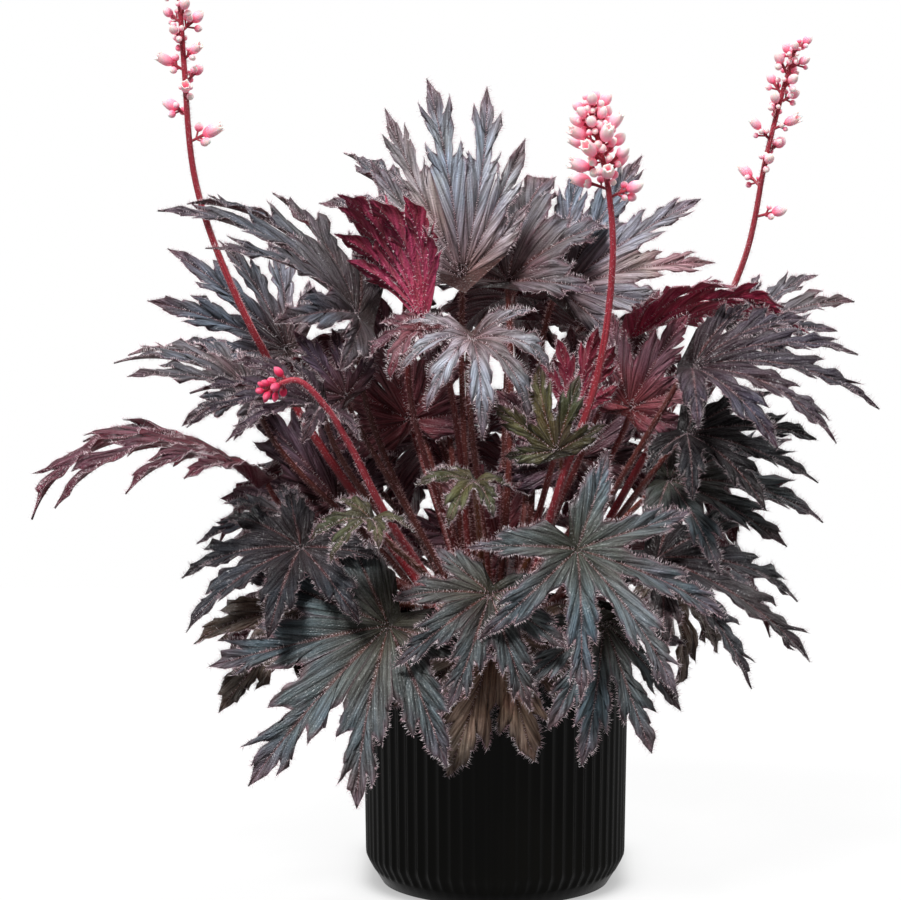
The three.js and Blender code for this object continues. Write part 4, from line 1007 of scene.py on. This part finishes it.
def bell_surface(base, lean, length, radius, opened, hues, draw):
    """A flower about its axis. Its outside swells from the stalk to its belly and draws in to the mouth;
    there five rounded lobes spread as far as it is open, and the inside follows back down to the base.
    A bud's lobes meet at its point. Tints run from rose at the base to cream on the lobes."""
    across, other = flower_axes(lean)
    turn = 2 * np.pi * np.arange(FLORET["around"]) / FLORET["around"]
    rise = np.array([0, 0.05, 0.15, 0.3, 0.45, 0.6, 0.74, 0.86, 0.95, 1])[:, None]
    closed = np.array([0, 0.34, 0.66, 0.92, 1, 0.97, 0.82, 0.58, 0.3, 0])[:, None]
    spread = np.array([0, 0.34, 0.62, 0.8, 0.86, 0.86, 0.84, 0.86, 0.92, 1])[:, None]
    furrow = 0.5 - 0.5 * np.cos(5 * turn)
    width = (closed + (spread - closed) * opened) * (1 - 0.1 * furrow * np.clip((rise - 0.35) / 0.5, 0, 1))
    height = rise - 0.28 * opened * np.clip((rise - 0.74) / 0.26, 0, 1) * furrow
    if opened:
        inner = slice(8, 0, -2)
        width = np.vstack([width, np.maximum(width[inner] - 0.12, 0) * opened, np.zeros_like(width[:1])])
        height = np.vstack([height, height[inner] - 0.02, np.full_like(height[:1], 0.3)])
    ring = np.cos(turn)[:, None] * across + np.sin(turn)[:, None] * other
    points = base + width[..., None] * radius * ring + height[..., None] * length * lean
    rose, blush, cream = np.array(hues)
    blend = np.clip(height / 0.95, 0, 1)[..., None]
    tint = np.where(blend < 0.5, rose + (blush - rose) * 2 * blend, blush + (cream - blush) * (2 * blend - 1))
    tint = np.clip(tint * (1 + 0.06 * draw.standard_normal()), 0, 1)
    uv = np.stack([height, np.broadcast_to(turn / (2 * np.pi) * 5, height.shape)], axis=-1)
    return sheet(points, 1, uv, tint, closed=True)


def pedicel(start, end, radii, tint):
    """A flower's own short stalk, straight from the stem and widening to the flower."""
    t = np.linspace(0, 1, 7)[:, None]
    return sweep(start + (end - start) * t, np.linspace(*radii, 7), 7, 0, tint)


def make_flower_stalk(spec, seed):
    """One flower stalk: the stem, and at each of the solid's florets a branch with one flower at its end
    and three buds beside it, which the young stalk doesn't have yet, and bristles along the stem."""
    solid, foot = solid_of(spec["name"])
    path = [(*foot, STALK["start"]), *spec["line"]]
    chords = spaced_curve(path, 15)
    line = np.vstack([(*foot, STALK["low"]), spaced_curve(path, 60)])
    share = np.linspace(0, 1, len(line))
    radii = spec["radius"] * (1.02 - 0.5 * share)
    draw = np.random.default_rng(100 + seed)
    crimson, rose = np.array(STEM["crimson"]), np.array(STEM["rose"])
    tint = crimson + (rose - crimson) * share[:, None] ** 2
    surfaces = [sweep(line, radii, STEM["sides"], 0, tint, STEM["ridge"])]
    young = spec["size"] < 0.8
    hues = BUD if young else BLOOM
    for i in range(spec["count"]):
        start, lean, arm, bell, place = floret_place(spec, i, seed, chords, solid)
        length, radius = FLORET["length"] * bell, 0.86 * FLORET["radius"] * bell
        opened = 0
        if not young and place <= FLORET["open_below"]:
            opened = (draw.uniform(0, 1) > 0.45) * draw.uniform(0.5, 0.95)
        if not opened and not young:
            length, radius = 0.8 * length, 0.88 * radius
        base = start + lean * (arm - 0.2)
        surfaces.append(pedicel(start, base + 0.6 * lean, (0.75, 0.95), rose * 0.9))
        surfaces.append(bell_surface(base, lean, length, radius, opened, hues, draw))
        across, other = flower_axes(lean)
        for k in range(0 if young else FLORET["buds"]):
            turn = draw.uniform(0, 2) + 2 * np.pi / FLORET["buds"] * k
            out = unit(lean * 0.8 + np.cos(turn) * across + np.sin(turn) * other)
            fork = start + lean * arm * draw.uniform(0.35, 0.7)
            small = draw.uniform(0.42, 0.66) * bell
            bud = fork + out * draw.uniform(2.2, 4.6)
            surfaces.append(pedicel(fork, bud + 0.4 * out, (0.5, 0.6), rose))
            length, radius = FLORET["bud_length"] * small, FLORET["bud_radius"] * small
            surfaces.append(bell_surface(bud, out, length, radius, 0, hues, draw))
    roots, tips = bristles(line[2:], radii[2:], STEM["bristle_gap"], STEM["bristle_length"], draw)
    surfaces.append({**hair(roots, tips, STEM["bristle_width"], STEM["bristle_tint"]), "material": 2})
    finishes = [stalk_skin, petal, hair_down]
    make_piece(spec["name"] + "_in_bloom", surfaces, finishes, [spec["name"]])


# The petals give off a faint light in their own tint: painted light that stands in for light passing through
# them.
petal, shader = new_material(
    "petal", Specular_IOR_Level=0.4, Subsurface_Weight=0.5, Subsurface_Radius=(0.6, 0.25, 0.2),
    Subsurface_Scale=0.003, Emission_Strength=0.16,
)
petal_lines = noise(petal, 1.0, 2, uv_place(petal, 1.2, 9.0))
finish_with(
    petal, shader,
    colour=tinted(petal, ramp(petal, petal_lines, [(0.3, (0.96, 0.78, 0.82)), (0.62, 1)])),
    roughness=ramp(petal, petal_lines, [(0.3, 0.4), (0.7, 0.55)]), height=petal_lines,
)
# Painted light: the petals' emission takes their own tint.
petal_glow_tint = add_node(petal, "Attribute", attribute_name="tint").outputs["Color"]
petal.node_tree.links.new(petal_glow_tint, shader.inputs["Emission Color"])

for seed, spec in enumerate(FLOWER_STALKS, start=1):
    make_flower_stalk(spec, seed)

# ---------------------------------------------------------------- floor, light and camera
# The plant stands on a plain white floor in a white studio, lit softly from above in front. The floor
# gives off light of its own, which stands for light from all round; a painted shadow dims it beside the
# pot's foot and just behind it, where the pot would hold that light off.

# A painted shadow on the floor: how far back from the pot's middle its core line runs, and how much of the
# floor's light is left at each distance from that line, in metres.
SHADOW = {
    "reach": 0.06,
    "fade": [
        (0.066, 0.5), (0.0715, 0.6), (0.0745, 0.74), (0.078, 0.86), (0.082, 0.94), (0.088, 0.985), (0.096, 1),
    ],
}


def seen_or_cast(owner, socket, seen, mirrored, cast):
    """Gives a light's strength one value where it is looked at, one where it is mirrored in a gloss, and
    a weaker one for what it lights."""
    ray, total = add_node(owner, "LightPath").outputs, cast
    for way, strength in (("Is Camera Ray", seen), ("Is Glossy Ray", mirrored)):
        total = maths(owner, "MULTIPLY_ADD", ray[way], strength - cast, total)
    owner.node_tree.links.new(total, socket)


floor_mesh = bpy.data.meshes.new("floor")
floor_mesh.from_pydata([(-1, -1, 0), (1, -1, 0), (1, 1, 0), (-1, 1, 0)], [], [(0, 1, 2, 3)])
floor_paper, shader = new_material("floor_paper", Roughness=0.9, Specular_IOR_Level=0.0)
finish_with(
    floor_paper, shader, colour=ramp(floor_paper, noise(floor_paper, 3, 2), [(0.3, 0.052), (0.7, 0.056)]),
)
# The painted shadow: the floor's emitted colour is darkened by the distance from a short line that runs back
# from the pot's middle.
place = add_node(floor_paper, "SeparateXYZ", {0: object_place(floor_paper)}).outputs
behind = add_node(floor_paper, "Clamp", {"Value": place["Y"], "Min": 0.0, "Max": SHADOW["reach"]}).outputs[0]
along = maths(floor_paper, "SUBTRACT", place["Y"], behind)
across = add_node(floor_paper, "CombineXYZ", {"X": place["X"], "Y": along}).outputs[0]
apart = add_node(floor_paper, "VectorMath", {0: across}, operation="LENGTH").outputs["Value"]
floor_paper.node_tree.links.new(ramp(floor_paper, apart, SHADOW["fade"]), shader.inputs["Emission Color"])
seen_or_cast(floor_paper, shader.inputs["Emission Strength"], seen=0.935, mirrored=0.7, cast=0.12)
floor_mesh.materials.append(floor_paper)
floor = bpy.data.objects.new("floor", floor_mesh)
bpy.context.scene.collection.objects.link(floor)

world = bpy.data.worlds.new("studio")
world.use_nodes = True
sky = world.node_tree.nodes["Background"]
sky.inputs["Color"].default_value = (1, 1, 1, 1)
seen_or_cast(world, sky.inputs["Strength"], seen=1.0, mirrored=0.2, cast=0.2)
bpy.context.scene.world = world
bpy.context.scene.view_settings.view_transform = "Standard"


def sun_light(name, direction, spread, strength):
    """A distant light that shines along a direction, softened by its spread in degrees."""
    lamp = bpy.data.lights.new(name, "SUN")
    lamp.angle = np.radians(spread)
    lamp.energy = strength
    light = bpy.data.objects.new(name, lamp)
    light.rotation_mode = "QUATERNION"
    light.rotation_quaternion = Vector(direction).to_track_quat("-Z", "Y")
    bpy.context.scene.collection.objects.link(light)


sun_light("key", (0.3, 0.7, -1.0), 14, 3.8)
sun_light("top", (-0.25, -0.3, -1.0), 40, 1.3)
sun_light("left", (0.87, -0.5, -0.3), 10, 1.0)
sun_light("right", (-0.87, -0.5, -0.3), 10, 1.0)

camera_data = bpy.data.cameras.new("camera")
camera_data.lens = 152.64
camera_data.sensor_width = 36
camera = bpy.data.objects.new("camera", camera_data)
camera.location = (0, -2.150, 0.530)
camera.rotation_mode = "QUATERNION"
camera.rotation_quaternion = (Vector((-0.0257, 0, 0.24865)) - camera.location).to_track_quat("-Z", "Y")
bpy.context.scene.collection.objects.link(camera)
bpy.context.scene.camera = camera
